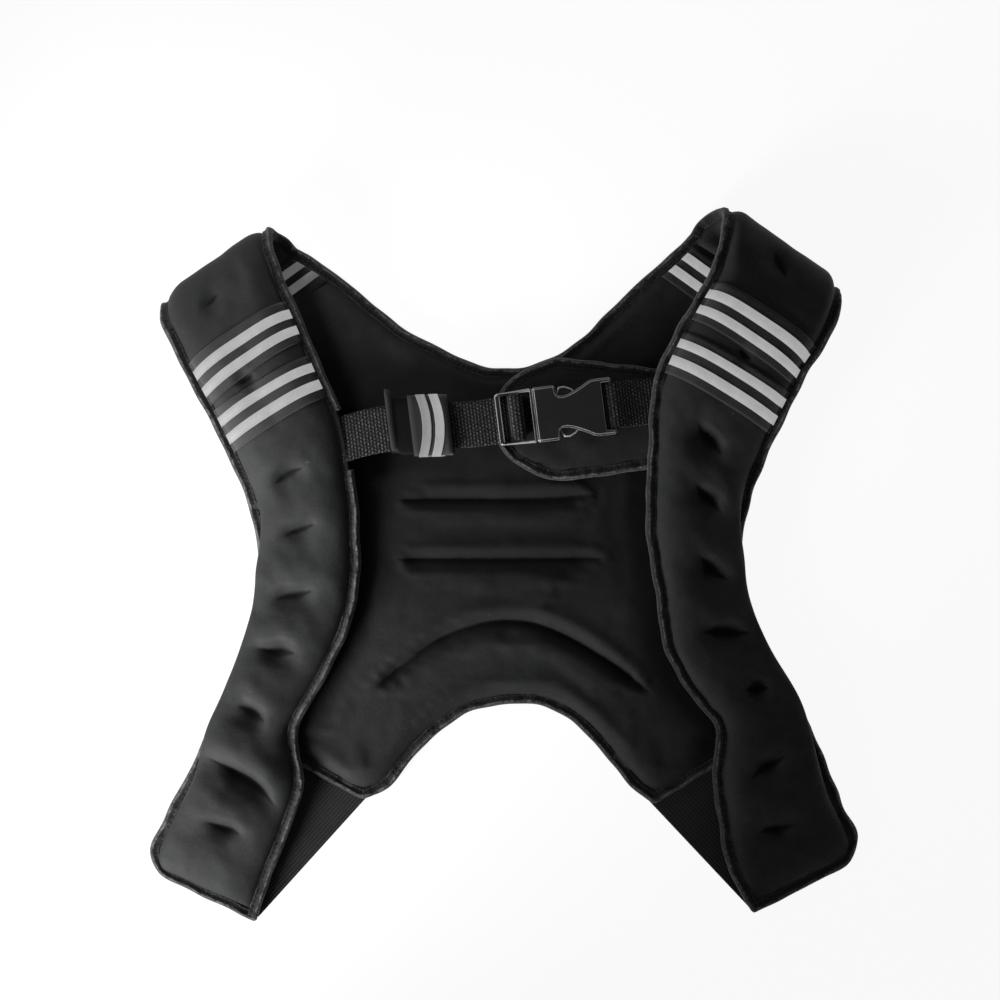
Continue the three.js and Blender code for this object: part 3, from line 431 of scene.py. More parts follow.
bindingShape = {
    "sewn": 6.9, "rim": 1.4, "tuck": 3.0, "step": 1.6, "fade": 12,
    # unevenness along the run: length in mm, size, step of the seed and number of waves; sway and rise in
    # mm, the other two as shares of the section's height
    "waves": {"sway": (32, 0.35, 0, 8), "coarse": (14, 0.12, 1, 8), "fine": (5, 0.08, 4, 8),
              "rise": (34, 0.45, 2, 6)},
    # outward from the edge, and up: over the top, round the edge, and back inside the fold
    "section": [[-6.4, 1.65], [-6.1, 1.95], [-5.5, 1.95], [-4.9, 1.8], [-4.2, 1.9], [-3.5, 2.2], [-2.8, 2.7],
                [-2.1, 3.0], [-1.4, 2.85], [-0.8, 2.3], [-0.35, 1.5], [-0.1, 0.8],
                [0, 0], [-0.15, -0.95], [-0.9, -2.0], [-2.2, -2.55], [-3.8, -2.6], [-5.4, -2.4],
                [-6.4, -1.75], [-6.3, -1.55], [-4, -1.55], [-2.4, -1.1], [-1.9, 0], [-2.4, 1.1],
                [-4, 1.55], [-6.3, 1.55]]}


def bindEdge(edge, up, side, seed):
    # the folded section carried along the edge: outward is the line's direction crossed with up
    line = resample(np.hstack([edge, up]), bindingShape["step"])
    edge, up = line[:, :3], unit(line[:, 3:])
    out = side * unit(np.cross(unit(np.gradient(edge, axis=0)), up))
    along = runOf(edge)
    sway, coarse, fine, rise = (lumps(along[:, None], long, seed + step, count) * size
                                for long, size, step, count in bindingShape["waves"].values())
    swell = 1 + coarse + fine
    fade = np.minimum(1, np.minimum(along, along[-1] - along) / bindingShape["fade"])
    section = np.array(bindingShape["section"])
    rings = (edge + (out * sway[:, None] + up * rise[:, None]) * fade[:, None])[:, None]
    rings = rings + out[:, None] * section[:, :1] + (up * swell[:, None])[:, None] * section[:, 1:]
    rings[..., 2] = np.maximum(rings[..., 2], leastHeight)
    v = runOf(section)
    lie = np.stack(np.broadcast_arrays(along[:, None], v[None], 0.0), -1)
    return sweptRings(rings, lie)


def makeBound(name, edge, up, side, seed):
    return makePiece(name, bindEdge(edge, up, side, seed), finishes["binding"])


def pillow(room, roll):
    # quarter circle: 0 at the sewn edge, full height a roll's width in
    return np.sqrt(np.maximum(1 - (1 - np.clip(room / roll, 0, 1)) ** 2, 0))


# padding: a coarse sheet is blown up by cloth simulation, and its moves are added to the fine surface

padShape = {
    "pressure": 4.0, "frames": 20, "cap": 4.0, "cell": 5.0,
    "quality": 6, "mass": 0.3, "stretch": 12, "bend": 0.4}


def inflate(points, quads, held):
    # how far each point of the sheet moves, in mm, no further than the cap; held points stay
    scene = bpy.context.scene
    mesh = bpy.data.meshes.new("padSheet")
    mesh.from_pydata(points * mm, [], quads.tolist())
    sheet = bpy.data.objects.new("padSheet", mesh)
    scene.collection.objects.link(sheet)
    sheet.vertex_groups.new(name="held").add(np.flatnonzero(held).tolist(), 1.0, "REPLACE")
    cloth = sheet.modifiers.new("cloth", "CLOTH")
    rules = cloth.settings
    rules.quality, rules.mass, rules.vertex_group_mass = padShape["quality"], padShape["mass"], "held"
    rules.tension_stiffness = rules.compression_stiffness = padShape["stretch"]
    rules.bending_stiffness = padShape["bend"]
    rules.use_pressure, rules.uniform_pressure_force = True, padShape["pressure"]
    rules.effector_weights.gravity = 0
    cloth.collision_settings.use_collision = False
    cloth.point_cache.frame_start, cloth.point_cache.frame_end = 1, padShape["frames"]
    for frameNumber in range(1, padShape["frames"] + 1):
        scene.frame_set(frameNumber)
    done = sheet.evaluated_get(bpy.context.evaluated_depsgraph_get()).data
    moved = np.empty(len(points) * 3, np.float32)
    done.vertices.foreach_get("co", moved)
    bpy.data.objects.remove(sheet)
    bpy.data.meshes.remove(mesh)
    scene.frame_set(1)
    step = moved.reshape(-1, 3) / mm - points
    size = np.linalg.norm(step, axis=1, keepdims=True)
    print("  padding moved", round(float(size.mean()), 2), "mm, at most", round(float(size.max()), 2))
    return step * (padShape["cap"] * np.tanh(size / padShape["cap"]) / np.maximum(size, 1e-6))


def spread(field, a, b):
    # cubic between the samples of a coarse grid: a and b run from 0 to 1 along its two sides
    def taps(share, count):
        place = np.clip(share, 0, 1) * (count - 1)
        i = np.minimum(place.astype(int), count - 2)
        f = place - i
        weights = (-0.5 * f + f**2 - 0.5 * f**3, 1 - 2.5 * f**2 + 1.5 * f**3,
                   0.5 * f + 2 * f**2 - 1.5 * f**3, -0.5 * f**2 + 0.5 * f**3)
        return [(np.clip(i + k - 1, 0, count - 1), weights[k]) for k in range(4)]

    rows, columns = taps(a, field.shape[0]), taps(b, field.shape[1])
    return sum(field[i, j] * (u * v)[..., None] for i, u in rows for j, v in columns)


# back panel

backShape = {
    "rimZ": 6.0, "roll": 24, "loft": 9.2, "armLoft": 5.2, "belly": 4.6, "armLow": 115, "armHigh": 175,
    "neckShare": 0.4, "archShare": 2 / 3, "armhole": 300, "rows": (70, 190, 70), "columns": 72,
    "lump": 0.45, "seamDepth": 7.2, "seamAbove": 11, "seamBelow": 18, "seamStep": 0.6,
    # a seam's pull rises over seamFade from its ends and dies out over seamPast beyond them; its thread is
    # a dark line with painted shade below it, of a set depth, over a reach above it and a narrow and a wide
    # one below it
    "seamFade": 26, "seamPast": 8, "seamShadeFade": 14, "seamShade": 4, "thread": (0.7, 1.8, 15),
    # painted shade beside each strap, by depth and reach, and painted shade between the shoulders, with soft
    # ends
    "shade": {"left": (2.8, 15), "right": (3.2, 21)}, "dim": 2.0, "dimFrom": (-80, 0), "dimTo": (120, 165),
    "neck": [[-133, 203], [-113, 190.6], [-90.2, 172.6], [-65.8, 152.8], [-37.5, 137.5], [-13, 127.3],
             [0, 125.8], [15, 127.5], [40.5, 138.2], [64.2, 159.5], [85.5, 180.7], [103, 195.7],
             [119.5, 212]],
    "arch": [[-90, -151], [-71.6, -140.6], [-56.6, -121.5], [-39.6, -105.5], [-21.2, -94], [0, -89.4],
             [23, -90], [42, -99], [61, -117.5], [77.5, -138], [96, -154]],
    "armholes": {
        "left": [[-205.5, 154.5], [-134.5, 85.5], [-117.5, 22], [-119.5, -9.5], [-131, -61.5],
                 [-155, -115.5]],
        "right": [[200, 162.5], [132, 89], [117.5, 22], [119.5, -9.5], [131.5, -60], [157.5, -115.5]]},
    "seams": [[[-75, 42], [0, 42], [30, 42.6], [66, 45.5]], [[-76, 4], [0, 4], [70, 4.5]],
              [[-86, -81], [-66, -65], [-40.5, -47], [-15, -37.5], [1, -35.5], [20, -37.5], [48, -50],
               [76, -68], [97, -85]]]}
neckLine = curveThrough(backShape["neck"])
archLine = curveThrough(backShape["arch"])


def beside(curve, share, distance):
    # a point of a plan curve, moved to its left
    way = unit(curve(share + 1e-4) - curve(share - 1e-4))
    return curve(share) + distance * np.stack([-way[..., 1], way[..., 0]], -1)


def backEdges(side, inset):
    # the armhole's edge, and the neck, middle line and arch as one, from the shoulder down
    left = side == "left"
    hole = curveThrough(backShape["armholes"][side])
    neckShare, archShare = backShape["neckShare"], backShape["archShare"]
    turned = (lambda share: share) if left else (lambda share: 1 - share)

    def inner(share):
        neck = beside(neckLine, turned(share / neckShare * 0.5), -inset)
        arch = beside(archLine, turned(0.5 * (1 - share) / (1 - archShare)), inset)
        part = np.clip((share - neckShare) / (archShare - neckShare), 0, 1)[..., None]
        top = beside(neckLine, np.array(0.5), -inset) * [0, 1]
        low = beside(archLine, np.array(0.5), inset) * [0, 1]
        middle = top + (low - top) * part
        lower = np.where((share > archShare)[..., None], arch, middle)
        return np.where((share < neckShare)[..., None], neck, lower)

    return lambda share: beside(hole, share, inset if left else -inset), inner


def inPlan(p, z):
    return np.concatenate([p, np.broadcast_to(np.asarray(z, float), p.shape[:-1])[..., None]], -1)


def backRim():
    # armhole, wing end, arch, wing end, armhole: one line, its corners rounded
    share = np.linspace(0, 1, 240)
    left, right = (backEdges(side, 0)[0](share) for side in ("left", "right"))
    arch = archLine(np.linspace(0, 1, 240))
    rim = resample(np.vstack([left, arch, right[::-1]]), 1.0)
    return rounded(rim, 6)


rimLine = backRim()
neckRim = neckLine(np.linspace(0, 1, 500))
past = (neckRim[:1] - neckRim[20:21]) * 0.2, (neckRim[-1:] - neckRim[-21:-20]) * 0.2
neckRim = np.vstack([neckRim[:1] + past[0], neckRim, neckRim[-1:] + past[1]])  # a little past both ends
bounding = np.vstack([rounded(rimLine, 20), resample(neckRim, 1.0)])  # rounder at its corners than the edge


def nearest(p, line):
    # distance in plan from each point to a line's closest sample
    flat = p.reshape(-1, 2)
    blocks = np.array_split(flat, max(1, len(flat) // 2000))
    found = [np.sqrt(((b[:, None] - line) ** 2).sum(-1).min(1)) for b in blocks]
    return np.concatenate(found).reshape(p.shape[:-1])


def within(p, outline):
    # inside a closed plan outline: a ray to the right crosses it an odd number of times
    x, y = p[..., 0, None], p[..., 1, None]
    a, b = outline, np.roll(outline, -1, axis=0)
    slope = (b[:, 0] - a[:, 0]) / np.where(np.abs(b[:, 1] - a[:, 1]) < 1e-9, 1e-9, b[:, 1] - a[:, 1])
    crossed = ((a[:, 1] > y) != (b[:, 1] > y)) & (x < a[:, 0] + slope * (y - a[:, 1]))
    return crossed.sum(-1) % 2 == 1


def creaseFall(distance, above, below):
    # a sewn crease: each side falls to it, steepest at the thread, with its own width
    t = np.clip(np.abs(distance) / np.where(distance > 0, above, below), 0, 1)
    return (1 - t) ** 2 * (1 + 0.35 * t)


def seamDepths(p):
    # each sewn line pulls the padding in and fades out past its ends; also the dark line of its thread with
    # painted shade below it
    depth, paintedShade = np.zeros(p.shape[:-1]), np.zeros(p.shape[:-1])
    for seam in backShape["seams"]:
        line = resample(curveThrough(seam)(np.linspace(0, 1, 400)), backShape["seamStep"])
        ways = unit(np.gradient(line, axis=0))
        low, high = line.min(0) - 20, line.max(0) + 20
        close = ((p > low) & (p < high)).all(-1)
        q = p[close]
        near = np.concatenate([((b[:, None] - line) ** 2).sum(-1).argmin(1) for b in np.array_split(q, 20)])
        off, way = q - line[near], ways[near]
        past = (off * way).sum(-1) * ((near == 0) | (near == len(line) - 1))
        side = way[:, 0] * off[:, 1] - way[:, 1] * off[:, 0]
        toEnd = np.minimum(near, len(line) - 1 - near) * backShape["seamStep"]
        strength = smooth(toEnd, -1, backShape["seamFade"]) * np.exp(-((past / backShape["seamPast"]) ** 2))
        fall = creaseFall(side, backShape["seamAbove"], backShape["seamBelow"])
        depth[close] = np.maximum(depth[close], backShape["seamDepth"] * strength * fall)
        # painted shade: dark at the thread, reaching a little above it and, narrow and wide, far below it
        above, narrow, wide = backShape["thread"]
        thread = 0.62 * np.exp(side / wide) + 0.38 * np.exp(side / narrow)
        thread = np.where(side > 0, np.exp(-side / above), thread)
        dark = backShape["seamShade"] * smooth(toEnd, -1, backShape["seamShadeFade"]) * (past == 0)
        paintedShade[close] = np.maximum(paintedShade[close], dark * thread)
    return depth, paintedShade


backSwell = {}


def backHeights(p):
    # a pillow from the sewn edge, thinner on the shoulder arms, with seams, soft lumps and the padding's
    # moves: the upper face, the lower one, and the depth of the painted shade at the seams
    room = nearest(p, bounding) - bindingShape["sewn"]
    fill = pillow(room, backShape["roll"])
    arms = smooth(p[..., 1], backShape["armLow"], backShape["armHigh"])
    loft = backShape["loft"] + (backShape["armLoft"] - backShape["loft"]) * arms
    soft = (lumps(p, 46, 3) * 0.8 + lumps(p, 19, 4) * 0.3) * backShape["lump"]
    depth, paintedShade = seamDepths(p)
    top = backShape["rimZ"] + bindingShape["rim"] + (loft + soft - depth) * fill
    if backSwell:
        a, b = ((p[..., k] - backSwell["low"][k]) / (backSwell["high"] - backSwell["low"])[k] for k in (1, 0))
        top = top + spread(backSwell["moves"], a, b)[..., 2] * fill
    low = backShape["rimZ"] - bindingShape["rim"] - backShape["belly"] * fill
    return top, np.maximum(low, leastHeight), paintedShade


def swellBack():
    # a plan grid over the panel, held along its rim and its sewn lines
    cell = padShape["cell"]
    low = bounding.min(0) // cell * cell
    counts = ((bounding.max(0) - low) / cell).astype(int) + 2
    x, y = np.meshgrid(*(low[k] + cell * np.arange(counts[k]) for k in (0, 1)))
    p = np.stack([x, y], -1)
    inside = within(p, resample(np.vstack([rimLine, neckRim[::-1]]), 4.0))
    top = backHeights(p)[0]
    quads = gridQuads(np.arange(x.size).reshape(x.shape))
    quads = quads[inside.ravel()[quads].all(1)]
    used = np.unique(quads)
    number = np.zeros(x.size, int)
    number[used] = np.arange(len(used))
    sewn = seamDepths(p)[0] > 0.6 * backShape["seamDepth"]
    held = (nearest(p, bounding) < bindingShape["sewn"] + 3) | sewn
    moves = np.zeros((x.size, 3))
    moves[used] = inflate(inPlan(p, top).reshape(-1, 3)[used], number[quads], held.ravel()[used])
    backSwell.update(low=low, high=low + cell * (counts - 1), moves=moves.reshape(*x.shape, 3))


swellBack()


def makeBack():
    neckRows, middleRows, archRows = backShape["rows"]
    neckShare, archShare = backShape["neckShare"], backShape["archShare"]
    end = 1 - bindingShape["tuck"] / backShape["armhole"]
    share = np.r_[np.linspace(0, neckShare, neckRows, endpoint=False),
                  np.linspace(neckShare, archShare, middleRows, endpoint=False),
                  np.linspace(archShare, end, archRows)]
    across = np.linspace(0, 1, backShape["columns"])
    patches = []
    for side in ("left", "right"):
        outer, inner = (edge(share)[:, None] for edge in backEdges(side, bindingShape["tuck"]))
        p = outer + (inner - outer) * across[:, None]
        straight = (share >= neckShare) & (share <= archShare)
        p[straight, -1, 0] = 0
        p = p if side == "left" else p[:, ::-1]
        top, low, paintedShade = backHeights(p)
        # little light comes in beside the straps and between the shoulders
        for strapSide, (depth, reach) in backShape["shade"].items():
            strap = straps[strapSide]
            gap = nearest(p, strap.edgeLine(1, 8, strap.last)[:, :2])
            paintedShade = np.maximum(paintedShade, depth * np.exp(-((gap / reach) ** 2)))
        y = p[..., 1]
        dim = backShape["dim"] * smooth(y, *backShape["dimFrom"]) * (1 - smooth(y, *backShape["dimTo"]))
        paintedShade = np.maximum(paintedShade, dim)
        patches.append((inPlan(p, top), inPlan(p, low), inPlan(p, paintedShade)))
    return makePiece("back_panel", closedSheet(patches), finishes["neoprene"])


upright = lambda line: np.tile([0.0, 0, 1], (len(line), 1))
makeBound("neck_binding", inPlan(neckRim, backShape["rimZ"]), upright(neckRim), -1, 11)
makeBound("edge_binding", inPlan(rimLine, backShape["rimZ"]), upright(rimLine), 1, 15)
print("bindings of the back")


# front straps

strapShape = {
    "roll": 24, "tighter": {"left": 9, "right": 16}, "tighterRows": (4, 7),
    "rows": 420, "columns": 68, "padColumns": 23,
    "rimLift": 0.6, "lump": 0.5, "corner": 5.5, "seamLap": 0.4,
    "overhang": 13, "overhangFrom": (8.6, 10.4), "overhangTo": (13.4, 16.2),
    # outer edge x y z, inner edge x y z, loft above and belly below; from the seam on the back, over the
    # fold, down to the lower end
    "left": [[-205.5, 154.5, 6, -133, 203, 6, 4, 4.5], [-210, 158, 6.2, -138.5, 209, 6.2, 4.5, 3.5],
             [-215, 161.5, 10.5, -144, 212, 10.5, 4.2, 2.5], [-217, 163, 20, -146.8, 213, 20, 4.4, 2.5],
             [-216.5, 153.5, 29, -145.5, 201.5, 29, 6, 3], [-207, 133.5, 33.5, -139.5, 184, 33.5, 9, 3],
             [-198, 115.5, 33, -126.5, 155, 34.5, 9.5, 3], [-188, 96.5, 30, -115, 127, 33.5, 10, 3.5],
             [-173.5, 66, 23, -101.5, 95.5, 31, 10, 4], [-162.5, 37.5, 15, -94.5, 57, 27.5, 10, 4],
             [-157, 5.5, 10, -91, 16, 23.5, 10, 4], [-159, -25.5, 8.5, -93.5, -24, 22, 10, 4],
             [-167.5, -55, 8, -105.5, -57, 21, 10, 4], [-179, -84, 8, -122, -87, 20, 10, 4],
             [-190.5, -108, 8, -131, -105, 19, 10, 4], [-202, -132.5, 8, -127.5, -139.5, 16, 10, 4],
             [-216.3, -159, 7, -137, -169.5, 12, 9, 3], [-227, -184.5, 6, -150.3, -203.5, 8.5, 7, 2],
             [-222, -198.5, 5.5, -158.9, -228.8, 6, 5, 1]],
    "right": [[200, 162.5, 6, 119.5, 212, 6, 4, 4.5], [204.5, 166.5, 6.2, 124.5, 220, 6.2, 4.5, 3.5],
              [209.3, 171, 10.5, 130.5, 224.5, 10.5, 4.8, 2.5], [211.5, 173.2, 20, 138, 225.5, 20, 5.2, 2.5],
              [213.2, 165.5, 29, 137, 211.5, 29, 6.8, 3], [204.5, 142, 33.5, 130, 187, 33.5, 9, 3],
              [192, 123, 33, 117, 164, 34.5, 9.5, 3], [183.5, 105, 30, 105, 143, 33.5, 10, 3.5],
              [171, 78.5, 23, 94, 116, 31, 10, 4], [159, 47.5, 15, 91, 73, 28.5, 10, 4],
              [152, 12.5, 10, 90, 22, 24, 10, 4], [155, -22, 8.5, 96.5, -20, 22, 10, 4],
              [168, -52.5, 9, 101.5, -52.5, 22, 10, 4], [182, -75.5, 8, 118, -82.5, 20, 10, 4],
              [193, -97, 8, 134, -103, 19, 10, 4], [204.5, -122, 8, 132.5, -133.5, 16.5, 10, 4],
              [216, -151, 7, 136.5, -162, 12.5, 9, 3], [227.3, -176.3, 6, 143.3, -194.5, 9, 7, 2],
              [222.2, -191.7, 5.5, 159.6, -223.7, 6, 5, 1]],
    # creases at the tacks: x, y, turn in degrees, half length, depth
    "creases": {
        "left": [[-183, 166, 40, 6, 2.6], [-162, 118.5, 45, 4.5, 3.0], [-136, 60, 28, 9, 5.5],
                 [-128.5, 24.5, 22, 9, 5.5], [-131, -17.5, 15, 10, 6.5], [-142, -53.5, -4, 10, 7.5],
                 [-158.5, -93.5, -28, 8, 7.5], [-163, -134, -33, 20, 8.5], [-177.5, -166, -21, 9, 7.0]],
        "right": [[173, 187, -60, 8, 3.5], [151, 134, -35, 5, 3.0], [129.5, 82, -50, 9, 6.5],
                  [128.5, 45, -45, 9, 7.0], [130.5, -1, -43, 9, 7.0], [139, -42, 0, 12, 7.0],
                  [158.5, -78, 0, 6.5, 7.0], [166.5, -126, 30, 9, 7.0], [173, -166, 12, 9, 6.5]]},
    # the last two are the width and the depth of the painted shade along each crease
    "above": 8, "below": 14, "stray": 0.8, "bend": 0.006, "shadeWidth": {"left": 0.56, "right": 0.85}, "dark": 2.7,
    # round each crease: share of its depth, place and width across it, and length as a share of its own
    "dip": (0.3, -6, 11, 1.9), "bulge": (-0.22, 13, 10, 2.2)}


class Strap:
    def __init__(self, side):
        rows = np.array(strapShape[side], float)
        self.side, self.last = side, len(rows) - 1
        self.turn = 1 if side == "left" else -1
        self.outer, self.inner = curveThrough(rows[:, :3]), curveThrough(rows[:, 3:6])
        self.padding = curveThrough(rows[:, 6:])
        self.fine = np.linspace(0, self.last, 2000)
        self.run = runOf(self.middle(self.fine, 0 * self.fine))
        self.moves = None
        self.swell()

    def middle(self, row, w):
        # straight across from the outer edge (w -1) to the inner edge (w 1)
        share = np.clip(row / self.last, 0, 1)
        a, b = self.outer(share), self.inner(share)
        return a + (b - a) * ((w + 1) / 2)[..., None]

    def width(self, row):
        one = np.ones_like(row)
        return np.linalg.norm(self.middle(row, one) - self.middle(row, -one), axis=-1)

    def up(self, row, w):
        along = self.middle(row + 0.05, w) - self.middle(row - 0.05, w)
        across = self.middle(row, np.ones_like(w)) - self.middle(row, -np.ones_like(w))
        return self.turn * unit(np.cross(along, across))

    def endStep(self, w):
        last = np.full_like(w, self.last)
        return np.linalg.norm(self.middle(last, w) - self.middle(last - 1, w), axis=-1)

    def lowEnd(self, w, inset):
        return self.last - inset / self.endStep(w)

    def sideEnd(self, row, inset):
        return 1 - 2 * inset / self.width(row)

    def creases(self, p):
        # at each tack a short crease, a shallow dip below it and a bulge above; also the painted shade along
        # the crease
        depth, paintedShade = np.zeros(p.shape[:-1]), np.zeros(p.shape[:-1])
        p = p + strapShape["stray"] * np.stack([lumps(p, 22, seed) for seed in (71, 72)], -1)
        for x, y, turn, reach, deep in strapShape["creases"][self.side]:
            c, s = math.cos(math.radians(turn)), math.sin(math.radians(turn))
            u = (p[..., 0] - x) * c + (p[..., 1] - y) * s
            v = (p[..., 1] - y) * c - (p[..., 0] - x) * s
            v = v + strapShape["bend"] * u**2
            along = np.exp(-((np.abs(u) / reach) ** 2.4))
            rest = sum(size * np.exp(-((v - at) / wide) ** 2 - (u / (long * reach)) ** 2)
                       for size, at, wide, long in (strapShape["dip"], strapShape["bulge"]))
            depth += deep * (along * creaseFall(v, strapShape["above"], strapShape["below"]) + rest)
            # painted shade: a soft dark lens along each crease
            lens = strapShape["shadeWidth"][self.side] * deep * np.exp(-((u / (0.9 * reach)) ** 2)) + 0.05
            near = np.exp(-(((v + 0.2 * deep * along) / lens) ** 2))
            paintedShade = np.maximum(paintedShade, strapShape["dark"] * near * smooth(lens, 0.1, 1.2))
        return depth, paintedShade

    def swell(self):
        # a coarse copy of the upper face, held along its edges and at its tacks
        rows = int(self.run[-1] / padShape["cell"])
        share, w = np.meshgrid(
            np.linspace(0, 1, rows), np.linspace(-1, 1, strapShape["padColumns"]), indexing="ij")
        row = self.rowAt(share)
        inside = w * self.sideEnd(row, bindingShape["sewn"])
        upper, _, _, paintedShade = self.surface(np.minimum(row, self.lowEnd(w, bindingShape["sewn"])), inside)
        held = (np.abs(w) > 0.99) | (share < 0.001) | (share > 0.999) | (paintedShade > 0.5)
        quads = gridQuads(np.arange(w.size).reshape(w.shape))
        quads = quads if self.turn > 0 else quads[:, ::-1]
        self.moves = inflate(upper.reshape(-1, 3), quads, held.ravel()).reshape(*w.shape, 3)

    def surface(self, row, w):
        # a pillow between the sewn edges, above and below the middle sheet
        half = self.width(row) / 2
        sewn = bindingShape["sewn"]
        sideRoom = (1 - np.abs(w)) * half - sewn
        endRoom = (self.lowEnd(w, sewn) - row) * self.endStep(w)
        tighter = strapShape["tighter"][self.side] * (1 - smooth(row, *strapShape["tighterRows"]))
        roll = strapShape["roll"] - tighter
        fill = pillow(sideRoom, roll) * pillow(endRoom, strapShape["roll"])
        pad = self.padding(np.clip(row / self.last, 0, 1))
        loft, belly = pad[..., 0] + strapShape["rimLift"], pad[..., 1] + strapShape["rimLift"]
        place, up = self.middle(row, w), self.up(row, w)
        front = smooth(up[..., 2], 0.2, 0.7)
        # lower down, the outer side's roll leans out over its binding: a third of the way in, it leans most
        t = np.clip(sideRoom / strapShape["roll"], 0, 1)
        lean = smooth(row, *strapShape["overhangFrom"]) * (1 - 0.85 * smooth(row, *strapShape["overhangTo"]))
        lean = lean * pillow(endRoom, strapShape["roll"])
        lean = strapShape["overhang"] * lean * np.where(w < 0, 6.75 * t * (1 - t) ** 2, 0)
        lean = lean[..., None] * unit(self.middle(row, -np.ones_like(w)) - self.middle(row, np.ones_like(w)))
        plan = (place + lean)[..., :2]
        soft = strapShape["lump"] * (lumps(plan, 40, 21) * 0.8 + lumps(plan, 17, 22) * 0.35)
        depth, paintedShade = self.creases(plan)
        high = bindingShape["rim"] + (loft + soft - front * depth) * fill
        low = bindingShape["rim"] + belly * fill
        upper = place + up * high[..., None] + lean
        if self.moves is not None:
            along = np.interp(row, self.fine, self.run) / self.run[-1]
            upper = upper + spread(self.moves, along, (w / self.sideEnd(row, sewn) + 1) / 2) * fill[..., None]
        lower = place - up * low[..., None]
        upper[..., 2] = np.maximum(upper[..., 2], 2 * leastHeight)
        lower[..., 2] = np.maximum(lower[..., 2], leastHeight)
        return upper, lower, up, front * paintedShade

    def rowAt(self, share):
        # row of the table at a share of the strap's length
        return np.interp(np.asarray(share) * self.run[-1], self.run, self.fine)

    def grid(self):
        counts = strapShape["rows"], strapShape["columns"]
        share = np.linspace(0, 1, counts[0])[:, None]
        w = np.broadcast_to(np.linspace(-1, 1, counts[1]), counts)
        row = self.rowAt(share) * self.lowEnd(w, bindingShape["tuck"]) / self.last
        inset = bindingShape["tuck"] + strapShape["corner"] * smooth(row, self.last - 1, self.last) ** 3
        across = w * self.sideEnd(row, inset)
        upper, lower, _, paintedShade = self.surface(row, across)
        # the first row laps into the back's shoulder arm, so that the seam stays shut
        lap = strapShape["seamLap"] * (self.middle(row[0] + 1, w[0]) - self.middle(row[0], w[0])) * [1, 1, 0]
        upper[0], lower[0] = upper[0] - lap, lower[0] - lap
        lie = np.stack([share * self.run[-1] + 0 * w, across * self.width(row) / 2, paintedShade], -1)
        return upper, lower, lie

    def edgeLine(self, sign, first, stop):
        row = np.linspace(first, stop, 500)
        w = np.full_like(row, sign)
        return np.hstack([self.middle(row, w), self.up(row, w)])

    def loopLine(self, first):
        # inner edge from its first row, lower end, outer edge back to the seam
        w = np.linspace(1, -1, 120)
        row = np.full_like(w, self.last)
        end = np.hstack([self.middle(row, w), self.up(row - 0.1, w)])
        line = np.vstack([self.edgeLine(1, first, self.last), end, self.edgeLine(-1, self.last, 0)])
        line = resample(line, 1.0)
        corner = np.linalg.norm(line[:, :3] - self.middle(np.array(self.last), np.array(-1.0)), axis=1)
        near = 1 - smooth(corner, 14, 26)[:, None]
        return rounded(line, 3) * (1 - near) + rounded(line, 11) * near


straps = {side: Strap(side) for side in ("left", "right")}
backPanel = makeBack()
print("back panel")
webGap = {"from": 7.9, "to": 8.9}
for side, strap in straps.items():
    made = closedSheet([strap.grid()])
    makePiece(f"strap_{side}", made, finishes["neoprene"])
    loop = strap.loopLine(webGap["to"] if side == "left" else 0)
    makeBound(f"{side}_strap_binding", loop[:, :3], loop[:, 3:], -strap.turn, 31 if side == "left" else 41)
neckSide = straps["left"].edgeLine(1, 0, webGap["from"])
makeBound("left_neck_binding", neckSide[:, :3], neckSide[:, 3:], -1, 36)
print("straps and their bindings")


# tape and stripes

tapeShape = {
    "width": 28, "thick": 0.8, "lift": 0.3, "stripe": 6, "stripeAt": 5.6, "stripeThick": 0.3, "dip": 3,
    "tuck": 5.2, "cell": 1.6, "columns": 64, "armColumns": 60,
    "rows": {"left": {"upper": 5.87, "lower": 7.07, "inner": 0.6},
             "right": {"upper": 5.66, "lower": 7.09, "inner": 0.8}},
    # how far the outer end lies further down its strap, in rows
    "lean": {"left": {"upper": 0.18, "lower": 0.28}, "right": {"upper": 0.2, "lower": 0.19}},
    # shaded: depth of the painted shade on the bands and stripes across each shoulder arm
    "armRows": 6, "armInset": 7.2, "shaded": {"left": 2.75, "right": 0.0}}


def tapeRows(low, high):
    return np.linspace(low, high, max(3, int((high - low) / tapeShape["cell"])))[:, None]


def strapTape(strap, centre, lean, low, high, lift, thick):
    # rows of the strap's own surface, a set distance from the tape's middle row, bent down at both edges
    w = np.linspace(-1, 1, tapeShape["columns"])
    away = tapeRows(low, high)
    middle = centre + lean * (1 - w) / 2
    step = np.linalg.norm(strap.middle(middle + 0.5, w) - strap.middle(middle - 0.5, w), axis=-1)
    row = middle + (away + tapeShape["dip"] * np.abs(w) ** 3) / step
    across = np.broadcast_to(w, row.shape) * strap.sideEnd(row, tapeShape["tuck"])
    upper, _, up, _ = strap.surface(row, across)
    lie = np.stack(np.broadcast_arrays(across * strap.width(row) / 2, away, 0.0), -1)
    return closedSheet([(upper + up * (lift + thick), upper + up * lift, lie)])


def armTape(side, centre, low, high, lift, thick):
    # the same across a shoulder arm of the back
    outer, inner = backEdges(side, tapeShape["armInset"])
    rowShare = backShape["neckShare"] / tapeShape["armRows"]
    j = np.linspace(0, 1, tapeShape["armColumns"])

    def spot(row, t):
        a, b = outer(row * rowShare), inner(row * rowShare)
        return a + (b - a) * t[..., None]

    middle = np.full_like(j, centre)
    step = np.linalg.norm(spot(middle + 0.5, j) - spot(middle, j), axis=-1) / 0.5
    away = tapeRows(low, high)
    row = np.maximum(centre + away / step, 0.1)
    p = spot(row, np.broadcast_to(j, row.shape))
    top = backHeights(p)[0]
    # the third coordinate is painted shade, on the arm that lies in shade
    lie = np.stack(np.broadcast_arrays(j * 80.0, away, tapeShape["shaded"][side]), -1)
    return closedSheet([(inPlan(p, top + lift + thick), inPlan(p, top + lift), lie)])


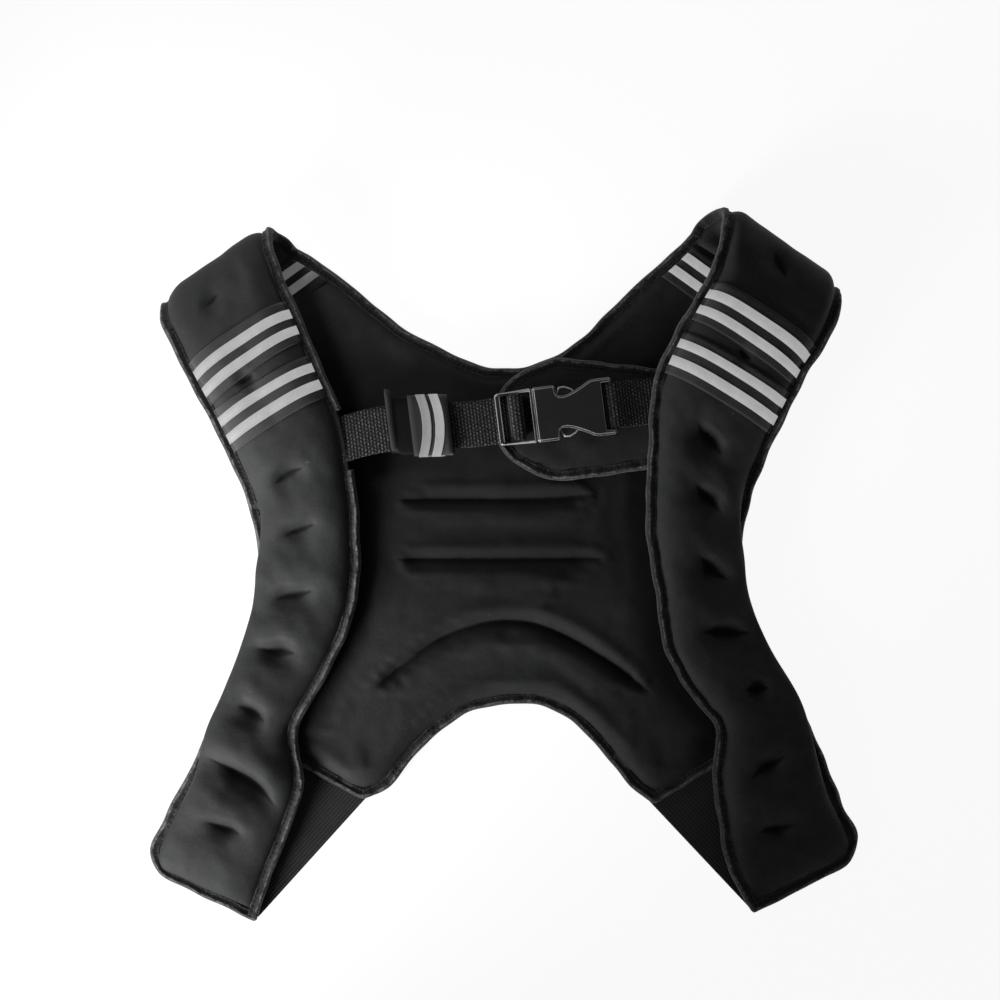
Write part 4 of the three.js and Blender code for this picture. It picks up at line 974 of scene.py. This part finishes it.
def bandLength(side, strap, spot, centre):
    # along the tape's middle line, in mm
    if spot == "inner":
        outer, inner = backEdges(side, tapeShape["armInset"])
        share = np.array(centre * backShape["neckShare"] / tapeShape["armRows"])
        return float(np.linalg.norm(inner(share) - outer(share)))
    w = np.linspace(-1, 1, tapeShape["columns"])
    row = centre + tapeShape["lean"][side][spot] * (1 - w) / 2
    upper = strap.surface(row, w * strap.sideEnd(row, tapeShape["tuck"]))[0]
    return float(np.linalg.norm(np.diff(upper, axis=0), axis=1).sum())


bands = {}
stripeLift = tapeShape["lift"] + tapeShape["thick"] + 0.1
half, edge = tapeShape["width"] / 2, tapeShape["stripe"] / 2
for side, strap in straps.items():
    for spot, centre in tapeShape["rows"][side].items():
        lay = (lambda *span: armTape(side, centre, *span)) if spot == "inner" else (
            lambda *span: strapTape(strap, centre, tapeShape["lean"][side][spot], *span))
        name = f"{side}_{spot}"
        made = lay(-half, half, tapeShape["lift"], tapeShape["thick"])
        band = makePiece(f"{name}_band", made, finishes["tape"])
        stripes = []
        for tag, at in (("a", -tapeShape["stripeAt"]), ("b", tapeShape["stripeAt"])):
            made = lay(at - edge, at + edge, stripeLift, tapeShape["stripeThick"])
            stripes.append(makePiece(f"{name}_stripe_{tag}", made, finishes["stripe"]))
        bands[name] = (band, stripes, bandLength(side, strap, spot, centre))
print("tape:", len(bands), "bands")


# elastic side pieces

elasticShape = {
    "thick": 1.3, "lift": 0.3, "sag": 0.9,
    # corners on the wing and under the strap's lower end, outer then inner
    "left": [[[-151, -112], [-223, -188]], [[-87, -148], [-157.8, -226.3]]],
    "right": [[[153.5, -112], [222.5, -181]], [[92.5, -151], [158.8, -221.5]]]}
elastics = {}
for side in ("left", "right"):
    corners = np.array(elasticShape[side], float)
    t, s = np.meshgrid(np.linspace(0, 1, 60), np.linspace(0, 1, 44), indexing="ij")
    runs = [corners[k, 0] + (corners[k, 1] - corners[k, 0]) * t[..., None] for k in (0, 1)]
    p = runs[0] + (runs[1] - runs[0]) * s[..., None]
    width = np.linalg.norm(corners[0, 0] - corners[1, 0])
    length = np.linalg.norm(corners[0, 0] - corners[0, 1])
    wave = elasticShape["sag"] * (0.5 + 0.5 * lumps(p, 38, 51)) * np.sin(np.pi * t) * np.sin(np.pi * s)
    low = elasticShape["lift"] + np.maximum(wave, 0)
    lie = np.stack([t * length, s * width, 0 * t], -1)
    made = closedSheet([(inPlan(p, low + elasticShape["thick"]), inPlan(p, low), lie)])
    elastics[side] = makePiece(f"elastic_{side}", made, finishes["elastic"])
    elasticShape[side + "Flat"] = (width * mm, length * mm)
print("elastic")


# chest strap, in the buckle's own directions: along, aside, up

chestShape = {
    "x": 19.4, "y": 94.9, "turn": 7.2, "webWidth": 29, "webThick": 1.5,
    "leftWeb": [[-123.5, 0, 28.8], [-108, 2.5, 28.6], [-91, 3.5, 28], [-72, 2.5, 27.6], [-53, 0.5, 27.2],
                [-38, -0.5, 26.6], [-27, -0.5, 26], [-21.5, 0, 25.8], [-17.6, 0, 26.2], [-15.8, 0, 27.4],
                [-15.2, 0, 29.5], [-14.7, 0, 31.4], [-13.2, 0, 32.3], [-9.4, 0, 32.3], [-7.9, 0, 31.4],
                [-7.4, 0, 29.3], [-7.7, 0, 26], [-9.5, 0, 24.2], [-21, 0, 23.6], [-38, -0.5, 24.2],
                [-53, 0.5, 24.8], [-72, 2.5, 25.2]],
    "rightWeb": [[78, 0, 25.4], [73, 0, 26], [63, 0, 28], [55, 0, 31.4], [51.6, 0, 32.9], [48.3, 0, 33],
                 [46.2, 0, 32.3], [45.3, 0, 30.6], [45.3, 0, 28.4], [46.2, 0, 26.7], [48.3, 0, 25.9],
                 [53, 0, 25.4], [64, 0, 24.2], [76, 0, 23.2]]}


def chestPlace(p):
    c, s = math.cos(math.radians(chestShape["turn"])), math.sin(math.radians(chestShape["turn"]))
    return np.stack([chestShape["x"] + p[..., 0] * c - p[..., 1] * s,
                     chestShape["y"] + p[..., 0] * s + p[..., 1] * c, p[..., 2]], -1)


def webStrip(route):
    # a flat section with rounded edges, carried along the route; it turns only about the aside direction
    line = resample(curveThrough(route)(np.linspace(0, 1, 1200)), 0.8)
    along = runOf(line)
    way = np.gradient(line, axis=0)
    up = unit(np.stack([-way[:, 2], 0 * way[:, 1], way[:, 0]], -1))
    half, thick = chestShape["webWidth"] / 2, chestShape["webThick"] / 2
    v = np.linspace(-1, 1, 15) * (half - 0.3)
    rim = thick * 0.4
    section = np.vstack([np.stack([v, 0 * v + thick], -1), [[half, rim], [half, -rim]],
                         np.stack([v[::-1], 0 * v - thick], -1), [[-half, -rim], [-half, rim]]])
    rings = line[:, None] + np.array([0, 1.0, 0]) * section[:, :1] + up[:, None] * section[:, 1:]
    lie = np.stack(np.broadcast_arrays(along[:, None], section[:, 0], 0.0), -1)
    points, faces, lie = sweptRings(rings, lie)
    return (chestPlace(points), faces, lie), along[-1]


webs = {}
for side in ("left", "right"):
    made, length = webStrip(chestShape[side + "Web"])
    webs[side] = makePiece(f"chest_web_{side}", made, finishes["webbing"])
    chestShape[side + "Length"] = length * mm

sleeveShape = {
    "aside": 2.2, "height": 26.4, "round": 0.45, "sides": 72, "wall": 1.2, "slant": -0.09, "pivot": -66,
    # along, half width, half height, lift aside, depth of painted shade: a rolled rim that stands up, then
    # the tube
    "rings": [[-92.6, 18.6, 4.8, 4.2, 0], [-92.3, 19.4, 5.6, 4.2, 0], [-91.4, 19.9, 6.1, 4.2, 0],
              [-90, 19.9, 6.1, 4, 0], [-89, 19.3, 5.6, 3.4, 0.5], [-88.4, 18.6, 5.1, 2.2, 2.4],
              [-87.6, 18.2, 4.8, 1, 2.8], [-86, 18, 4.8, 0.2, 3.2], [-70, 18, 4.8, 0, 3.2],
              [-53.4, 18, 4.6, 0, 2.4], [-53, 17.8, 4.4, 0, 2.4]],
    "around": (19, 5),  # half sizes of the oval by which the cloth's own coordinates are measured
    # a layer is its lift from the sleeve and its thickness; dim is the painted shade at the tape's two ends
    "tape": (-78.5, -53.5), "tapeLayer": (0.3, 0.8), "half": (18.2, 4.9), "dim": (2.7, 0.4),
    "stripes": [(-73.2, -67.5), (-65, -59.3)], "stripeLayer": (1.25, 0.35), "bow": 3.6, "lean": 1.2}


def tubeRings(along, halfWidth, halfHeight, lift=0.0, shade=0.0, bow=0.0, lean=0.0):
    # squared-off ovals: each axis is the cosine or sine to a power under one; bow and lean bend the top
    angle = np.linspace(0, 2 * np.pi, sleeveShape["sides"], endpoint=False)
    bend = lambda v: np.sign(v) * np.abs(v) ** sleeveShape["round"]
    x, y = bend(np.cos(angle)), bend(np.sin(angle))
    along, halfWidth, halfHeight, lift, shade = (np.asarray(k, float).reshape(-1, 1)
                                                 for k in (along, halfWidth, halfHeight, lift, shade))
    aside = sleeveShape["aside"] + lift + sleeveShape["slant"] * (along - sleeveShape["pivot"])
    aside = aside + halfWidth * x
    bent = along + (bow * (0.6 - x**2) + lean * x) * (y > 0)
    rings = np.stack(np.broadcast_arrays(bent, aside, sleeveShape["height"] + halfHeight * y), -1)
    girth = runOf(np.stack([x, y], -1) * sleeveShape["around"])
    return rings, np.stack(np.broadcast_arrays(along, girth, shade), -1)


def boredTube(name, outer, inner, material, slot):
    # outer rings and then the inner ones back again, closed into one shell
    rings, lie = (np.vstack([a, b[::-1]]) for a, b in zip(outer, inner))
    ids = np.arange(rings.shape[0] * rings.shape[1]).reshape(rings.shape[:2])
    ids = np.vstack([ids, ids[:1]])
    quads = gridQuads(np.hstack([ids, ids[:, :1]]))
    points = rings.reshape(-1, 3)
    made = chestPlace(points), facingOut(points, quads), lie.reshape(-1, 3)
    return makePiece(name, made, material)


sleeveRows = np.array(sleeveShape["rings"])
bore = sleeveRows[-1, 1:3] - sleeveShape["wall"] + 0.2
# the bore gets painted shade all along
boreRows = np.tile([0, *bore, 0, 2.4], (len(sleeveRows), 1))
boreRows[:, 0] = sleeveRows[:, 0]
tubes = tubeRings(*sleeveRows.T), tubeRings(*boreRows.T)
sleeve = boredTube("keeper_sleeve", *tubes, finishes["neoprene"], "webbing")


def keeperLayer(name, span, layer, material, slot, bow=0.0, lean=0.0):
    # a thin tube round the sleeve, with painted shade that deepens towards its rim
    along = np.linspace(*span, 8)
    half, (lift, thick) = sleeveShape["half"], layer
    dim = np.interp(along, sleeveShape["tape"], sleeveShape["dim"])
    shell = [tubeRings(along, half[0] + k, half[1] + k, 0.0, dim, bow, lean) for k in (lift + thick, lift)]
    return boredTube(name, *shell, material, slot)


keeperBand = keeperLayer("keeper_band", sleeveShape["tape"], sleeveShape["tapeLayer"],
                         finishes["tape"], "tape")
keeperStripes = [keeperLayer(f"keeper_stripe_{tag}", span, sleeveShape["stripeLayer"], finishes["stripe"],
                             "reflective_stripe", sleeveShape["bow"], sleeveShape["lean"])
                 for tag, span in zip("ab", sleeveShape["stripes"])]
keeperLie = tubeRings(0.0, *sleeveShape["half"])[1]
girth = float(keeperLie[0, -1, 1])
sleeveShape["flat"] = ((sleeveShape["tape"][1] - sleeveShape["tape"][0]) * mm, girth * mm)
sleeveShape["sleeveFlat"] = ((sleeveRows[-1, 0] - sleeveRows[0, 0]) * mm, girth * mm)
print("chest strap and keeper")


# guard pad behind the buckle

guardShape = {
    "left": -8, "right": 97, "top": 132, "bottom": 53.4, "nose": 48, "endTop": 125, "endBottom": 62,
    "rimZ": 19.3, "roll": 20, "loft": 1.4, "belly": 0.6, "dim": 1.3}


def guardRim():
    # half an oval at the nose, then straight lines that draw in to the right end
    left, right, top, bottom = (guardShape[k] for k in ("left", "right", "top", "bottom"))
    angle = np.linspace(0.5, 1.5, 160) * np.pi
    nose = np.stack([left + guardShape["nose"] * (1 + np.cos(angle)),
                     (top + bottom) / 2 + (top - bottom) / 2 * np.sin(angle)], -1)
    return np.vstack([[[right, guardShape["endTop"]]], nose, [[right, guardShape["endBottom"]]]])


guardLine = rounded(resample(guardRim(), 1.0), 18)


def makeGuard():
    # rows from the top line to the bottom line; the pad swells away from its sewn edge
    inward = unit(np.gradient(guardLine, axis=0) @ np.array([[0.0, 1], [-1, 0]]))
    inset = guardLine + bindingShape["tuck"] * inward
    half = len(inset) // 2
    top, low = inset[:half + 1], inset[::-1][:half + 1]
    share = np.linspace(0, half - 1.5, 90)
    take = lambda line: np.stack([np.interp(share, np.arange(len(line)), line[:, k]) for k in (0, 1)], -1)
    p = take(top)[:, None] + (take(low) - take(top))[:, None] * np.linspace(0, 1, 60)[:, None]
    room = nearest(p, guardLine) - bindingShape["sewn"]
    fill = pillow(room, guardShape["roll"])
    soft = 0.4 * lumps(p, 24, 61)
    high = guardShape["rimZ"] + bindingShape["rim"] + (guardShape["loft"] + soft) * fill
    under = guardShape["rimZ"] - bindingShape["rim"] - guardShape["belly"] * fill
    # the third coordinate is painted shade, even over the whole pad
    made = closedSheet([(inPlan(p, high), inPlan(p, under), inPlan(p, guardShape["dim"]))])
    return makePiece("buckle_guard", made, finishes["neoprene"])


guard = makeGuard()
makeBound("guard_binding", inPlan(guardLine, guardShape["rimZ"]), upright(guardLine), 1, 66)
print("guard")


# buckle: the hard pieces' own solids, merged, with moulded edges that carry a painted highlight

buckleShape = {  # width of the rounded edge in mm, and the angle in degrees from which an edge is rounded
    "buckle_socket": {"edge": 1.0, "angle": 24, "clamp": True, "finish": "edgeHighlight"},
    "buckle_frame": {"edge": 0.5, "angle": 40, "clamp": False, "finish": "railHighlight"}}


def makeBuckle(node, shape):
    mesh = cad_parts[node].data.copy()
    piece = bpy.data.objects.new(node + "_look", mesh)
    bpy.context.scene.collection.objects.link(piece)
    mesh.materials.clear()
    mesh.materials.append(finishes["plastic"])
    mesh.materials.append(finishes[shape["finish"]])  # on the rounded edges: pale, a painted highlight
    weld = piece.modifiers.new("weld", "WELD")
    weld.merge_threshold = 1e-5
    flat = piece.modifiers.new("flat", "DECIMATE")
    flat.decimate_type, flat.angle_limit = "DISSOLVE", math.radians(1.5)
    if not shape["clamp"]:
        piece.modifiers.new("cut", "TRIANGULATE")  # a face with openings would break at its rounded edges
    edge = piece.modifiers.new("edge", "BEVEL")
    edge.width, edge.segments, edge.limit_method, edge.material = shape["edge"] * mm, 3, "ANGLE", 1
    edge.angle_limit, edge.use_clamp_overlap = math.radians(shape["angle"]), shape["clamp"]
    edge.harden_normals = True
    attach(piece, "root")
    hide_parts(node)
    return piece


buckle = {node: makeBuckle(node, shape) for node, shape in buckleShape.items()}
print("buckle")


# flat size of each chest web and tape band, worked out but not used

for side, piece in elastics.items():
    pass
for side, piece in webs.items():
    flat = (chestShape["webWidth"] * mm, chestShape[side + "Length"])
for name, (band, stripes, length) in bands.items():
    flat = (tapeShape["width"] * mm, length * mm)


# floor, light and camera

studio = {
    "floor": 0.15, "floorGlow": 0.92, "reach": 4, "world": 0.13,
    # place and aim in metres, size, spread in degrees, watts
    "lights": [[(-0.52, -0.40, 0.2), (-0.22, -0.06, 0.0), 0.3, 53, 1.12],
               [(-0.5, 0.38, 0.36), (-0.2, 0.17, 0.03), 0.25, 30, 0.13]],
    "lens": 85, "sensor": 36, "eye": (-2.69, 42.6, 1519.0)}


def makeStudio():
    floor = bpy.data.objects.new("floor", bpy.data.meshes.new("floor"))
    reach = studio["reach"]
    corners = [(x * reach, y * reach, 0) for x, y in ((-1, -1), (1, -1), (1, 1), (-1, 1))]
    floor.data.from_pydata(corners, [], [(0, 1, 2, 3)])
    material, _, _ = newFinish("floor", {
        "Base Color": grey(studio["floor"]), "Roughness": 0.9, "Emission Color": grey(1.0),
        "Emission Strength": studio["floorGlow"]})
    floor.data.materials.append(material)
    bpy.context.scene.collection.objects.link(floor)
    for n, (place, aim, size, spread, watts) in enumerate(studio["lights"]):
        data = bpy.data.lights.new(f"soft{n}", "AREA")
        data.size, data.energy, data.spread = size, watts, math.radians(spread)
        light = bpy.data.objects.new(f"soft{n}", data)
        light.location = place
        light.rotation_euler = (Vector(aim) - light.location).to_track_quat("-Z", "Y").to_euler()
        bpy.context.scene.collection.objects.link(light)
    world = bpy.data.worlds.new("studio")
    world.use_nodes = True
    world.node_tree.nodes["Background"].inputs["Color"].default_value = grey(1.0)
    world.node_tree.nodes["Background"].inputs["Strength"].default_value = studio["world"]
    bpy.context.scene.world = world
    data = bpy.data.cameras.new("camera")
    data.lens, data.sensor_width = studio["lens"], studio["sensor"]
    camera = bpy.data.objects.new("camera", data)
    camera.location = [k * mm for k in studio["eye"]]
    bpy.context.scene.collection.objects.link(camera)
    bpy.context.scene.camera = camera
    bpy.context.scene.view_settings.view_transform = "Standard"


makeStudio()
print("studio")
